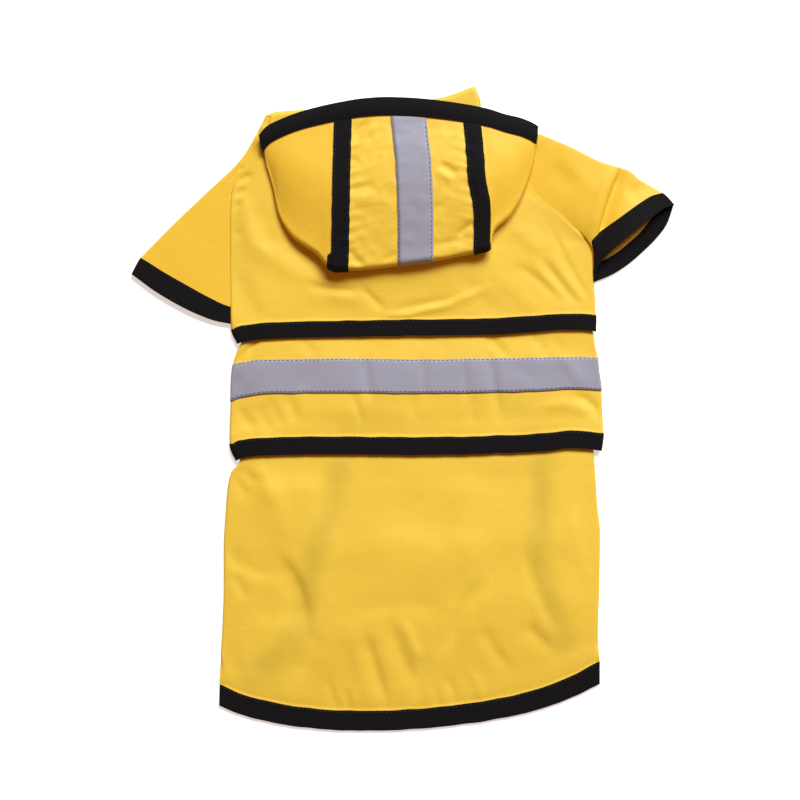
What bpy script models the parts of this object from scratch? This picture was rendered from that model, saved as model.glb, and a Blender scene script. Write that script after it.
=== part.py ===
"""A hooded dog raincoat, laid flat with its back up and the hood pushed back.

Units in the tables are millimetres. X runs to the coat's right side, Y towards the neck and
Z up from the surface that the coat lies on. Each cloth piece is a sheet: a grid of points in
the middle of the cloth, moved out to both faces.
"""
import math

import bpy
import numpy as np

MM = 0.001
ORIGIN = np.array((-0.375, 0.235, 0.0))     # bottom centre of the whole coat, in the tables
CLOTH = 1.0                 # wall of one layer of shell fabric
BINDING = 2.0               # binding tape, folded over the edge it finishes
CUFF_BINDING = 1.2
CUFF_GAP = 0.4
UNDERARM_GAP = 1.2          # where the binding runs slanting to the underarm
FLATNESS = 0.25             # how flat a sleeve lies, from 0 for flat to 1 for round
CUFF_BINDING_SHARE = 0.48   # the most of a short underarm that the binding takes
HOOD_BINDING = 2.4          # the fuller tape round the hood's face edge
SEAM_GAP = 0.3              # between pieces at a seam
TAPE = 1.0                  # reflective tape and the tapes over the hood's seams
TAPE_LIFT = CLOTH / 2 + SEAM_GAP

YOKE_BINDING_WIDTH = 11.2
MIDDLE_BINDING_WIDTH = 12.3
HEM_BINDING_WIDTH = 14.0
CUFF_BINDING_WIDTH = 11.8
BELLY_BINDING_WIDTH = 14.0
HOOD_BINDING_WIDTH = 11.6
HOOD_SEAM_TAPE_WIDTH = 11.8
HOOD_STRIP_WIDTH = 22.6
MIDDLE_STRIP_FROM = 42.6    # above the middle tier's lower edge
MIDDLE_STRIP_TO = 66.9
STRIP_TURN = 95             # degrees that the strip goes round the side fold

FLAT_COLUMNS = 19
SIDE_SHARES = (0.11, 0.22, 0.33, 0.44, 0.55, 0.78, 1.0)     # points round a side fold
SIDE_LEAST = 3.0            # cloth past the start of a side fold, even where it stays flat
SIDE_RETURN = 3.6           # cloth that lies under a full fold
SIDE_RETURN_FROM = 165      # degrees of turn from which it starts
RING_POINTS = 26
SLEEVE_ROWS = 7
CUFF_ROWS = 3
SLEEVE_RISE = 0.2           # share of a sleeve over which it rises to its thicker cuff

# Lower edge of each tier: x, y.
YOKE_EDGE = ((-116, 46.6), (-97, 48.7), (-60, 49.6), (0, 50.8), (60, 51.5), (90, 53.3),
             (113, 55.0), (138, 54.3))
MIDDLE_EDGE = ((-117, -35.0), (-97, -32.8), (-47, -31.9), (12, -32.4), (60, -31.4),
               (96, -29.8), (120, -27.7), (138, -29.4))
HEM_EDGE = ((-129, -207.6), (-114, -213.9), (-97, -218.3), (-72, -222.8), (-38, -225.2),
            (-13, -225.2), (12, -223.9), (45, -220.4), (79, -214.6), (104, -207.6),
            (121, -200.8), (138, -192.2))

# Rows of each tier: up = distance above the lower edge, left and right = its sides,
# lift = top face above the surface it lies on, turn = how far each side is folded under.
TIER_COLUMNS = ("up", "left", "right", "lift", "turn_left", "turn_right")
YOKE_ROWS = (
    (0.0, -115.5, 137.4, 5.6, 80, 85),
    (11.2, -120.0, 136.2, 5.6, 8, 85),
    (15.0, -120.5, 135.4, 5.5, 2, 95),
    (22.0, -120.8, 134.4, 5.2, 2, 125),
    (28.0, -120.9, 134.1, 4.9, 2, 155),
    (36.0, -121.0, 133.9, 4.6, 2, 180),
    (48.0, -121.1, 134.2, 4.4, 2, 180),
    (59.0, -121.1, 133.8, 4.4, 2, 100),
    (68.0, -121.1, 129.0, 4.4, 2, 30),
    (80.0, -121.1, 118.5, 4.4, 2, 0),
    (92.0, -121.0, 107.2, 4.4, 2, 0),
    (102.0, -120.0, 97.7, 4.4, 2, 0),
    (112.0, -116.6, 89.2, 4.4, 2, 0),
    (124.0, -107.6, 88.2, 4.4, 2, 0),
    (138.0, -100.1, 87.5, 4.4, 2, 0),
)
MIDDLE_ROWS = (
    (0.0, -116.6, 138.6, 5.6, 85, 85),
    (12.3, -121.0, 140.0, 5.6, 85, 85),
    (16.0, -121.1, 139.9, 5.5, 95, 95),
    (25.0, -121.1, 139.5, 4.6, 140, 140),
    (34.0, -120.8, 139.2, 4.2, 180, 180),
    (45.0, -120.3, 138.6, 3.9, 180, 180),
    (58.0, -119.9, 136.8, 3.8, 180, 180),
    (68.0, -118.6, 136.0, 3.8, 180, 180),
    (76.0, -115.8, 134.4, 3.8, 180, 180),
    (82.0, -112.8, 133.6, 3.8, 150, 150),
    (88.0, -112.8, 132.2, 3.7, 90, 90),
    (93.0, -112.8, 131.0, 3.6, 40, 40),
    (99.0, -112.8, 130.6, 3.5, 10, 10),
)
LOWER_ROWS = (
    (0.0, -128.8, 137.9, 1.5, 0, 0),
    (14.0, -128.4, 137.9, 1.5, 0, 0),
    (18.0, -128.3, 137.5, 1.8, 0, 0),
    (27.0, -127.9, 136.9, 2.8, 25, 25),
    (34.0, -127.5, 136.7, 3.5, 70, 70),
    (41.0, -127.1, 136.5, 3.8, 115, 115),
    (49.0, -126.7, 136.6, 3.8, 150, 150),
    (58.0, -126.3, 136.8, 3.8, 180, 180),
    (70.0, -125.8, 137.2, 3.8, 180, 180),
    (92.0, -125.3, 137.6, 3.8, 180, 180),
    (122.0, -125.3, 137.9, 3.8, 180, 180),
    (146.0, -124.0, 136.0, 3.8, 180, 180),
    (166.0, -122.6, 134.9, 3.8, 180, 180),
    (178.0, -119.9, 134.2, 3.8, 180, 180),
    (186.0, -114.2, 133.8, 3.8, 150, 150),
    (192.0, -113.8, 133.4, 3.7, 90, 90),
    (199.0, -113.6, 133.2, 3.5, 40, 40),
    (210.0, -113.4, 133.0, 3.4, 10, 10),
)

# Largest folds: a soft ridge from start to end, half its width, its height.
FOLD_COLUMNS = ("x0", "y0", "x1", "y1", "half_width", "height")
FOLDS = (
    (-12.0, 66.0, 36.0, 72.0, 5.0, 1.3),
    (70.0, 66.0, 112.0, 92.0, 7.0, 1.3),
    (106.0, 62.0, 128.0, 112.0, 8.0, 1.6),
    (-96.0, 92.0, -64.0, 84.0, 9.0, 0.9),
    (-52.0, -196.0, -30.0, -158.0, 10.0, 1.6),
    (-14.0, -214.0, 4.0, -150.0, 9.0, 1.9),
    (30.0, -204.0, 42.0, -166.0, 9.0, 1.4),
    (-92.0, -80.0, -78.0, -150.0, 16.0, 1.3),
    (58.0, -60.0, 74.0, -140.0, 18.0, 1.4),
    (-20.0, -60.0, 10.0, -110.0, 20.0, 1.5),
    (-60.0, -2.0, 40.0, -6.0, 12.0, 0.8),
    (160.0, 162.0, 143.0, 122.0, 5.0, 1.8),
)
FOLD_FADE = 14.0            # folds die out this far from the side folds

# Raglan sleeves: the four edges of the flat shape, x, y.
LEFT_RAGLAN = ((-95.5, 205.2), (-99.0, 188.0), (-102.6, 172.0), (-106.0, 154.0),
               (-107.6, 136.0), (-108.6, 110.0), (-109.6, 84.0))
LEFT_CUFF = ((-189.0, 95.2), (-181.3, 87.8), (-164.5, 77.3), (-147.7, 69.6), (-130.9, 63.3),
             (-117.0, 59.2))
LEFT_TOP_FOLD = ((-95.5, 205.2), (-103.0, 190.5), (-112.2, 175.3), (-139.3, 148.7),
                 (-156.8, 132.0), (-173.6, 115.1), (-183.4, 104.6), (-189.0, 95.2))
LEFT_UNDERARM = ((-109.6, 84.0), (-117.0, 59.2))
RIGHT_RAGLAN = ((90.2, 188.6), (90.2, 163.5), (98.7, 154.5), (108.6, 144.2), (120.4, 132.2),
                (129.8, 122.8), (134.8, 116.4), (136.5, 110.8), (137.4, 106.0))
RIGHT_CUFF_UPPER = ((188.3, 141.6), (180.0, 140.0), (171.5, 134.6), (163.1, 127.6),
                    (154.7, 119.4), (147.5, 111.5), (143.0, 103.5), (140.8, 96.5))
RIGHT_CUFF_LOWER = ((188.3, 141.6), (180.6, 125.4), (171.5, 114.5), (163.1, 106.1),
                    (154.7, 99.8), (148.4, 95.6), (144.0, 94.6), (140.8, 96.5))
RIGHT_TOP_FOLD = ((90.2, 188.6), (112.0, 182.8), (138.6, 171.2), (158.2, 165.6),
                  (165.0, 160.0), (182.7, 149.0), (188.3, 141.6))
RIGHT_UNDERARM = ((137.4, 106.0), (140.8, 96.5))
SLEEVE_COLUMNS = ("side", "raglan", "cuff_upper", "cuff_lower", "top_fold", "underarm",
                  "raglan_height", "cuff_height", "mouth_bulge")
SLEEVES = (
    ("left", LEFT_RAGLAN, LEFT_CUFF, LEFT_CUFF, LEFT_TOP_FOLD, LEFT_UNDERARM, 2.2, 3.0, 0.0),
    ("right", RIGHT_RAGLAN, RIGHT_CUFF_UPPER, RIGHT_CUFF_LOWER, RIGHT_TOP_FOLD,
     RIGHT_UNDERARM, 3.9, 4.6, 7.0),
)

# Fronts, face down on the surface: outer edge, neck edge, and the inner edge, which is the
# centre front and then the bound edge of the belly cut-away.
LEFT_FRONT_OUTER = ((-93.0, 203.6), (-96.4, 186.2), (-99.8, 170.8), (-103.0, 154.0),
                    (-104.8, 136.0), (-105.8, 110.0), (-106.6, 84.0), (-106.6, 68.0),
                    (-105.0, 54.0), (-105.0, 42.0), (-112.0, 30.0), (-113.4, 18.0),
                    (-113.6, -12.0), (-106.0, -30.0), (-106.0, -40.0), (-112.0, -50.0),
                    (-116.0, -64.0), (-118.4, -84.0), (-119.2, -100.0), (-119.2, -144.0),
                    (-119.8, -164.0), (-120.4, -184.0))
LEFT_FRONT_NECK = ((-93.0, 203.6), (-88.9, 207.6), (-60.0, 209.4), (-20.0, 211.0),
                   (26.0, 217.4), (50.4, 225.7))
LEFT_FRONT_INNER = ((50.4, 225.7), (54.6, 212.5), (53.0, 80.0), (36.0, 62.0), (14.0, 46.0),
                    (-21.0, 14.0), (-52.0, -34.0), (-55.0, -60.0), (-64.0, -88.0),
                    (-72.0, -118.0), (-78.0, -148.0), (-88.0, -163.0), (-107.0, -180.0))
LEFT_FRONT_HEM = ((-120.4, -184.0), (-107.0, -180.0))
RIGHT_FRONT_OUTER = ((86.4, 190.6), (89.2, 162.8), (97.6, 153.8), (107.5, 143.5),
                     (119.2, 131.5), (126.4, 120.5), (127.4, 108.0), (127.4, 44.0),
                     (130.0, 28.0), (132.2, 12.0), (132.2, -12.0), (127.0, -30.0),
                     (127.0, -46.0), (128.2, -62.0), (129.4, -82.0), (131.2, -104.0),
                     (131.2, -122.0), (130.4, -142.0), (129.8, -162.0))
RIGHT_FRONT_NECK = ((86.4, 190.6), (60.0, 196.0), (30.0, 200.0), (6.0, 206.0))
RIGHT_FRONT_INNER = ((6.0, 206.0), (6.0, 160.0), (6.0, 80.0), (24.0, 62.0), (40.0, 48.0),
                     (72.0, 20.0), (105.0, -34.0), (103.0, -61.0), (101.0, -99.0),
                     (106.0, -121.0), (115.0, -149.0), (120.0, -158.0))
RIGHT_FRONT_HEM = ((129.8, -162.0), (120.0, -158.0))
FRONT_COLUMNS = ("side", "outer", "neck", "inner", "hem", "overlap_lift", "cut_away")
FRONTS = (
    ("left", LEFT_FRONT_OUTER, LEFT_FRONT_NECK, LEFT_FRONT_INNER, LEFT_FRONT_HEM, 0.0, 1),
    ("right", RIGHT_FRONT_OUTER, RIGHT_FRONT_NECK, RIGHT_FRONT_INNER, RIGHT_FRONT_HEM, 1.3, -1),
)
OVERLAP_FROM = 60.0         # the right front rises onto the left one between these two
OVERLAP_TO = 70.0
OVERLAP_END = 46.0          # and comes down again below the centre front
FRONT_ROWS = 37
FRONT_COLUMNS_ACROSS = 8
BOUND_FRONT_ROWS = (16, 36)  # the rows of a front whose inner edge is bound
BELLY_BINDING = 1.6

# Hood ribs, from the face edge to where the hood turns under: plan of both ends, sideways
# bow, height of the face edge, of the turn and of the crown between, half height of the turn.
HOOD_COLUMNS = ("rim_x", "rim_y", "end_x", "end_y", "bow", "rim_z", "end_z", "crown", "turn")
HOOD_RIBS = (
    (-100.1, 190.1, -98.4, 173.6, 0.0, 7.6, 8.0, 0.0, 1.3),
    (-94.5, 196.2, -92.8, 156.0, 0.0, 8.6, 9.6, 1.0, 1.8),
    (-84.0, 201.3, -84.6, 138.5, 0.0, 9.8, 11.2, 2.5, 2.6),
    (-70.0, 206.3, -72.6, 118.5, 0.0, 11.0, 12.4, 4.0, 3.2),
    (-56.0, 210.9, -57.5, 103.6, 0.0, 11.8, 13.2, 5.0, 3.6),
    (-42.3, 213.9, -47.0, 95.6, 0.0, 12.4, 13.8, 5.5, 3.9),
    (-27.0, 216.4, -27.5, 96.4, 0.0, 12.8, 14.0, 5.5, 4.0),
    (-12.0, 217.4, -9.5, 98.4, 0.0, 13.0, 14.0, 5.5, 4.0),
    (2.6, 217.2, 8.4, 100.6, 0.0, 13.0, 14.0, 5.5, 4.0),
    (18.0, 216.4, 23.0, 102.6, 0.0, 13.0, 14.0, 5.5, 4.0),
    (33.0, 214.8, 38.0, 105.6, 1.0, 12.8, 13.8, 5.5, 3.9),
    (47.6, 212.6, 53.3, 109.0, 2.0, 12.4, 13.4, 5.0, 3.7),
    (60.0, 209.4, 65.0, 115.8, 1.6, 11.6, 12.6, 4.4, 3.3),
    (71.0, 205.5, 75.6, 129.0, 1.0, 10.6, 11.4, 3.2, 2.7),
    (81.0, 202.0, 83.0, 145.4, 0.4, 9.4, 10.2, 2.0, 2.1),
    (88.5, 199.2, 88.9, 165.0, 0.0, 8.6, 9.2, 1.0, 1.6),
    (93.8, 196.4, 92.6, 180.0, 0.0, 7.6, 8.0, 0.0, 1.3),
)
HOOD_LEFT_SEAM = 5
HOOD_CENTRE = 8.15
HOOD_RIGHT_SEAM = 11
HOOD_TURN_ANGLE = 165.0     # degrees
HOOD_TURN_REACH = 4.0       # from the start of the turn to its outermost line
HOOD_RUN_ROWS = 8
HOOD_TURN_ROWS = 7
HOOD_TAPE_TURN_ROWS = 4
HOOD_UNDER_RIBS = 6.8       # the hidden layer reaches this many ribs either side
RIB_GAP = 0.02              # half a seam gap, in rib numbers
HOOD_REST = 4.8             # the hood's hidden layer lies this high, on the yoke

YELLOW = (0.93, 0.58, 0.055)
BLACK = (0.012, 0.012, 0.016)
GREY = (0.33, 0.32, 0.36)
MATERIAL_COLUMNS = ("colour", "roughness", "metallic")
CLOTH_LOOK = (YELLOW, 0.55, 0.0)
BINDING_LOOK = (BLACK, 0.8, 0.0)
TAPE_LOOK = (GREY, 0.4, 0.0)


def named(columns, row):
    """One table row as a dictionary."""
    return dict(zip(columns, row))


def column(columns, rows, name):
    """One named column of a table."""
    return np.array([row[columns.index(name)] for row in rows], dtype=float)


def along(points, share):
    """Point at a share of a polyline's length."""
    points = np.array(points, dtype=float)
    lengths = np.hypot(*np.diff(points, axis=0).T)
    reach = np.concatenate(([0.0], np.cumsum(lengths))) / lengths.sum()
    return np.array([np.interp(share, reach, points[:, axis]) for axis in range(2)])


def fold_height(x, y):
    """Height of the largest folds above the cloth's general level."""
    height = 0.0
    for row in FOLDS:
        fold = named(FOLD_COLUMNS, row)
        start = np.array((fold["x0"], fold["y0"]))
        run = np.array((fold["x1"], fold["y1"])) - start
        share = np.clip(np.dot((x, y) - start, run) / np.dot(run, run), -0.3, 1.3)
        away = np.linalg.norm(start + share * run - (x, y)) / fold["half_width"]
        taper = math.exp(-max(abs(share - 0.5) - 0.4, 0.0) ** 2 * 20.0)
        height = max(height, fold["height"] * taper * math.exp(-away ** 2))
    return height


def coons(top, bottom, left, right, across, down):
    """Point of the flat shape between four edges. Top and bottom run across."""
    ruled_down = (1 - down) * along(top, across) + down * along(bottom, across)
    ruled_across = (1 - across) * along(left, down) + across * along(right, down)
    corners = ((1 - across) * (1 - down) * np.array(top[0]) + across * (1 - down) * np.array(top[-1])
               + (1 - across) * down * np.array(bottom[0]) + across * down * np.array(bottom[-1]))
    return ruled_down + ruled_across - corners


# ---------------------------------------------------------------- solids from sheets

def grid_normals(grid, closed):
    """Unit normal at each point of a grid of rows and columns."""
    down = np.gradient(grid, axis=0)
    if closed:
        across = np.roll(grid, -1, axis=1) - np.roll(grid, 1, axis=1)
    else:
        across = np.gradient(grid, axis=1)
    normals = np.cross(down, across)
    return normals / np.linalg.norm(normals, axis=2, keepdims=True)


def sheet(name, look, grid, outward, inward, closed=False):
    """Closed solid round a grid of points, outward and inward from it along its normals.

    Rows run down and columns run across, and the outer face is the one seen with the rows
    running towards the viewer. A closed grid joins its last column to its first.
    """
    grid = np.array(grid, dtype=float)
    normals = grid_normals(grid, closed)
    return between(name, look, grid + normals * outward, grid - normals * inward, closed)


def between(name, look, outer, inner, closed=False):
    """Closed solid between two grids of the same size."""
    rows, columns = outer.shape[:2]
    points = np.concatenate((outer, inner)).reshape(-1, 3)
    back = rows * columns
    spans = columns if closed else columns - 1
    faces = []
    for row in range(rows - 1):
        for col in range(spans):
            corner = row * columns + col
            beside = row * columns + (col + 1) % columns
            quad = (corner, corner + columns, beside + columns, beside)
            faces.append(quad)
            faces.append(tuple(index + back for index in reversed(quad)))
    for col in range(spans):
        beside = (col + 1) % columns
        last = (rows - 1) * columns
        faces.append((col, beside, beside + back, col + back))
        faces.append((last + beside, last + col, last + col + back, last + beside + back))
    if not closed:
        for row in range(rows - 1):
            first = row * columns
            last = first + columns - 1
            faces.append((first + columns, first, first + back, first + columns + back))
            faces.append((last, last + columns, last + columns + back, last + back))
    return solid(name, look, points, faces)


def solid(name, look, points, faces):
    """Object from points in millimetres, about the coat's origin."""
    mesh = bpy.data.meshes.new(name)
    mesh.from_pydata([tuple((point - ORIGIN) * MM) for point in points], [], faces)
    mesh.update()
    piece = bpy.data.objects.new(name, mesh)
    bpy.context.scene.collection.objects.link(piece)
    mesh.materials.append(material(name, look))
    return piece


def material(name, look):
    """Plain material for one piece."""
    values = named(MATERIAL_COLUMNS, look)
    made = bpy.data.materials.new(name)
    made.use_nodes = True
    shader = made.node_tree.nodes["Principled BSDF"]
    shader.inputs["Base Color"].default_value = (*values["colour"], 1.0)
    shader.inputs["Roughness"].default_value = values["roughness"]
    shader.inputs["Metallic"].default_value = values["metallic"]
    made.diffuse_color = (*values["colour"], 1.0)
    return made


# ---------------------------------------------------------------- back tiers

def side_fold(level, lift, turn):
    """Points round a side fold, as outward distance from its start and height."""
    radius = max((lift - CLOTH) / 2, 0.7)
    full = math.radians(turn)
    arc = radius * full
    returned = np.clip((turn - SIDE_RETURN_FROM) / (180 - SIDE_RETURN_FROM), 0.0, 1.0)
    length = max(SIDE_LEAST, arc) + SIDE_RETURN * returned
    points = []
    for share in SIDE_SHARES:
        run = length * share
        angle = min(run / radius, full)
        straight = max(run - arc, 0.0)
        points.append((radius * math.sin(angle) + straight * math.cos(full),
                       level - radius * (1 - math.cos(angle)) - straight * math.sin(full)))
    return points


def tier_row(rows, edge, binding, up, turn_limit=180):
    """Points across one tier, from the left side fold's end to the right one's."""
    ups = column(TIER_COLUMNS, rows, "up")
    value = {name: np.interp(up, ups, column(TIER_COLUMNS, rows, name))
             for name in TIER_COLUMNS[1:]}
    edge_x, edge_y = np.array(edge).T
    top = np.interp(0.0, edge_x, edge_y) + ups[-1]
    level = value["lift"] - CLOTH / 2

    def height_above_edge(x):
        start = np.interp(x, edge_x, edge_y)
        stretch = (top - start - binding) / (ups[-1] - binding)
        return start + min(up, binding) + max(up - binding, 0.0) * stretch

    left_fold = side_fold(level, value["lift"], min(value["turn_left"], turn_limit))
    right_fold = side_fold(level, value["lift"], min(value["turn_right"], turn_limit))
    turn_left = value["left"] + CLOTH / 2 + max(out for out, _ in left_fold)
    turn_right = value["right"] - CLOTH / 2 - max(out for out, _ in right_fold)
    points = [(turn_left - out, height_above_edge(turn_left - out), z)
              for out, z in reversed(left_fold)]
    for share in np.linspace(0.0, 1.0, FLAT_COLUMNS):
        x = turn_left + (turn_right - turn_left) * share
        y = height_above_edge(x)
        fade = min((x - turn_left) / FOLD_FADE, (turn_right - x) / FOLD_FADE, 1.0)
        points.append((x, y, level + fold_height(x, y) * fade))
    return points + [(turn_right + out, height_above_edge(turn_right + out), z)
                     for out, z in right_fold]


def tier(name, rows, edge, binding):
    """One tier of the back and the binding on its lower edge."""
    ups = column(TIER_COLUMNS, rows, "up")
    panel_ups = [up for up in ups[::-1] if up > binding + 2.0] + [binding + SEAM_GAP]
    grid = [tier_row(rows, edge, binding, up) for up in panel_ups]
    sheet(f"back_{name}", CLOTH_LOOK, grid, CLOTH / 2, CLOTH / 2)
    trim = {"yoke": "yoke_binding", "middle": "middle_binding", "lower": "hem_binding"}[name]
    bound = [tier_row(rows, edge, binding, binding * share) for share in (1.0, 0.5, 0.0)]
    sheet(trim, BINDING_LOOK, bound, BINDING / 2, BINDING / 2)


def middle_strip():
    """Reflective tape across the middle tier and over its side folds."""
    between_rows = [up for up in column(TIER_COLUMNS, MIDDLE_ROWS, "up")[::-1]
                    if MIDDLE_STRIP_FROM < up < MIDDLE_STRIP_TO]
    ups = (MIDDLE_STRIP_TO, *between_rows, MIDDLE_STRIP_FROM)
    grid = [tier_row(MIDDLE_ROWS, MIDDLE_EDGE, MIDDLE_BINDING_WIDTH, up, STRIP_TURN)
            for up in ups]
    sheet("middle_reflective_strip", TAPE_LOOK, grid, TAPE_LIFT + TAPE, -TAPE_LIFT)


# ---------------------------------------------------------------- fronts

def front_point(front, across, down, level):
    """Point of a front, from its outer to its inner edge, with the centre-front overlap."""
    x, y = coons(front["neck"], front["hem"], front["outer"], front["inner"], across, down)
    over = np.clip((OVERLAP_TO - x) / (OVERLAP_TO - OVERLAP_FROM), 0.0, 1.0)
    over *= np.clip((y - OVERLAP_END) / (OVERLAP_TO - OVERLAP_FROM), 0.0, 1.0)
    return (x, y, level + front["overlap_lift"] * over)


def front(row):
    """One front and the binding of its cut-away inner edge."""
    values = named(FRONT_COLUMNS, row)
    grid = [[front_point(values, across, down, CLOTH / 2)
             for across in np.linspace(0.0, 1.0, FRONT_COLUMNS_ACROSS)]
            for down in np.linspace(0.0, 1.0, FRONT_ROWS)]
    sheet(f"front_{values['side']}", CLOTH_LOOK, facing_up(grid), CLOTH / 2, CLOTH / 2)
    bound = [belly_row(values, grid, row) for row in range(*BOUND_FRONT_ROWS)]
    trim = f"belly_binding_{values['side']}"
    sheet(trim, BINDING_LOOK, facing_up(bound), BELLY_BINDING / 2, BELLY_BINDING / 2)


def belly_row(front, grid, row):
    """Points across the binding, from the front's inner edge into the cut-away."""
    before, here, after = (np.array(grid[index][-1][:2]) for index in (row - 1, row, row + 1))
    run = (after - before) / np.linalg.norm(after - before)
    outward = np.array((-run[1], run[0])) * front["cut_away"]
    points = []
    for distance in (SEAM_GAP, SEAM_GAP + BELLY_BINDING_WIDTH):
        x, y = here + outward * distance
        points.append((x, y, BELLY_BINDING / 2))
    return points


def facing_up(grid):
    """The grid with its columns in the order that turns its normals up."""
    grid = np.array(grid, dtype=float)
    if grid_normals(grid, False)[:, :, 2].mean() < 0:
        grid = grid[:, ::-1]
    return grid


# ---------------------------------------------------------------- sleeves

def sleeve_point(values, angle, row):
    """Point on a ring round a sleeve. Angle 0 is the top fold and pi the underarm.

    Rows up to SLEEVE_ROWS run from the raglan seam to the binding, and the rest over it.
    """
    across = (1 - math.cos(angle)) / 2
    upper = math.sin(angle) >= 0
    cuff = values["cuff_upper"] if upper else values["cuff_lower"]
    edges = (values["raglan"], cuff, values["top_fold"], values["underarm"])
    length = np.linalg.norm(along(edges[0], across) - along(edges[1], across))
    bound = min(CUFF_BINDING_WIDTH / length, CUFF_BINDING_SHARE)
    if row < SLEEVE_ROWS:
        gap = np.interp(across, (0.75, 0.95), (CUFF_GAP, UNDERARM_GAP))
        down = (1 - bound - gap / length) * row / (SLEEVE_ROWS - 1)
    else:
        down = 1 - bound * (1 - (row - SLEEVE_ROWS) / (CUFF_ROWS - 1))
    x, y = coons(*edges, across, down)
    height = values["raglan_height"] + (values["cuff_height"] - values["raglan_height"]) * down
    height += values["mouth_bulge"] * down ** 2 * math.sin(math.pi * across)
    height += fold_height(x, y) if upper else 0.0
    rise = np.clip(1 - (1 - bound - down) / SLEEVE_RISE, 0.0, 1.0)
    low = CLOTH / 2 + (CUFF_BINDING - CLOTH) / 2 * rise
    side = math.copysign(abs(math.sin(angle)) ** FLATNESS, math.sin(angle))
    return (x, y, low + (height - low) * (1 + side) / 2)


def sleeve(row):
    """One raglan sleeve, a flattened tube, and the binding of its cuff."""
    values = named(SLEEVE_COLUMNS, row)
    angles = np.linspace(0.0, 2 * math.pi, RING_POINTS, endpoint=False)
    rings = np.array([[sleeve_point(values, angle, ring) for angle in angles]
                      for ring in range(SLEEVE_ROWS + CUFF_ROWS)])
    if grid_normals(rings, True)[:, RING_POINTS // 4, 2].mean() < 0:
        rings = rings[:, ::-1]
    normals = grid_normals(rings, True)
    for name, look, part, wall in (
            (f"sleeve_{values['side']}", CLOTH_LOOK, slice(0, SLEEVE_ROWS), CLOTH),
            (f"cuff_binding_{values['side']}", BINDING_LOOK, slice(SLEEVE_ROWS, None),
             CUFF_BINDING)):
        out = normals[part] * wall / 2
        between(name, look, rings[part] + out, rings[part] - out, closed=True)


# ---------------------------------------------------------------- hood

def rib_values(rib):
    """The hood table at a rib number, between its rows too."""
    numbers = np.arange(len(HOOD_RIBS))
    return {name: np.interp(rib, numbers, column(HOOD_COLUMNS, HOOD_RIBS, name))
            for name in HOOD_COLUMNS}


def hood_level(rib):
    """Distance along a rib from the face edge to where its turn starts."""
    value = rib_values(rib)
    length = math.hypot(value["end_x"] - value["rim_x"], value["end_y"] - value["rim_y"])
    return length - HOOD_TURN_REACH


def hood_point(rib, phase):
    """Point of the hood's middle surface. Phase 0 is the face edge, 1 the turn, 2 its end."""
    value = rib_values(rib)
    rim = np.array((value["rim_x"], value["rim_y"]))
    end = np.array((value["end_x"], value["end_y"]))
    forward = (end - rim) / np.linalg.norm(end - rim)
    level = hood_level(rib)
    if phase <= 1:
        smooth = phase ** 2 * (3 - 2 * phase)
        x, y = rim + forward * level * phase
        x += value["bow"] * 4 * phase * (1 - phase)
        z = value["rim_z"] + (value["end_z"] - value["rim_z"]) * smooth
        return np.array((x, y, z + value["crown"] * 16 * phase ** 2 * (1 - phase) ** 2))
    angle = math.radians(HOOD_TURN_ANGLE) * (phase - 1)
    x, y = rim + forward * (level + HOOD_TURN_REACH * math.sin(angle))
    return np.array((x, y, value["end_z"] - value["turn"] * (1 - math.cos(angle))))


def hood_phases(rib, start, turn_rows):
    """Phases of the rows along a rib, from start, with this many rows round its turn."""
    runs = np.linspace(start / hood_level(rib), 1.0, HOOD_RUN_ROWS)
    turns = 1.0 + np.arange(1, turn_rows + 1) / HOOD_TURN_ROWS
    return np.concatenate((runs, turns))


def hood_panel(name, ribs):
    """One panel of the hood between two rib numbers."""
    start = HOOD_BINDING_WIDTH + SEAM_GAP
    columns = [[hood_point(rib, phase) for phase in hood_phases(rib, start, HOOD_TURN_ROWS)]
               for rib in ribs]
    grid = np.array(columns).transpose(1, 0, 2)
    sheet(name, CLOTH_LOOK, grid, CLOTH / 2, CLOTH / 2)


def hood_tape(name, look, centre, width):
    """Tape on the hood's panels, along a rib, its own points moved out."""
    start = HOOD_BINDING_WIDTH + 3 * SEAM_GAP
    grid = []
    for row in range(HOOD_RUN_ROWS + HOOD_TAPE_TURN_ROWS):
        phase = hood_phases(centre, start, HOOD_TAPE_TURN_ROWS)[row]
        points = []
        for share in (-0.5, -0.25, 0.0, 0.25, 0.5):
            rib = centre + rib_step(centre, phase, width * share)
            points.append(hood_point(rib, hood_phases(rib, start, HOOD_TAPE_TURN_ROWS)[row]))
        grid.append(points)
    sheet(name, look, grid, TAPE_LIFT + TAPE, -TAPE_LIFT)


def rib_step(rib, phase, sideways):
    """Change of rib number that moves a point sideways by this distance."""
    probe = math.copysign(0.5, sideways)
    width = np.linalg.norm(hood_point(rib + probe, phase) - hood_point(rib, phase))
    return probe * abs(sideways) / width


def hood():
    """The hood's three panels, its tapes and its bound face edge."""
    last = len(HOOD_RIBS) - 1
    left = HOOD_LEFT_SEAM
    right = HOOD_RIGHT_SEAM
    hood_panel("hood_left", (0.5, *range(2, left), left - RIB_GAP))
    hood_panel("hood_centre", (left + RIB_GAP, *range(left + 1, right), right - RIB_GAP))
    hood_panel("hood_right", (right + RIB_GAP, *range(right + 1, last - 1), last - 0.5))
    hood_tape("hood_seam_binding_left", BINDING_LOOK, left, HOOD_SEAM_TAPE_WIDTH)
    hood_tape("hood_seam_binding_right", BINDING_LOOK, right, HOOD_SEAM_TAPE_WIDTH)
    hood_tape("hood_reflective_strip", TAPE_LOOK, HOOD_CENTRE, HOOD_STRIP_WIDTH)
    rim = [[hood_point(rib, run / hood_level(rib)) for rib in np.arange(0, last + 0.5, 0.5)]
           for run in np.linspace(0.0, HOOD_BINDING_WIDTH, 4)]
    sheet("hood_face_binding", BINDING_LOOK, rim, HOOD_BINDING / 2, HOOD_BINDING / 2)


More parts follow.
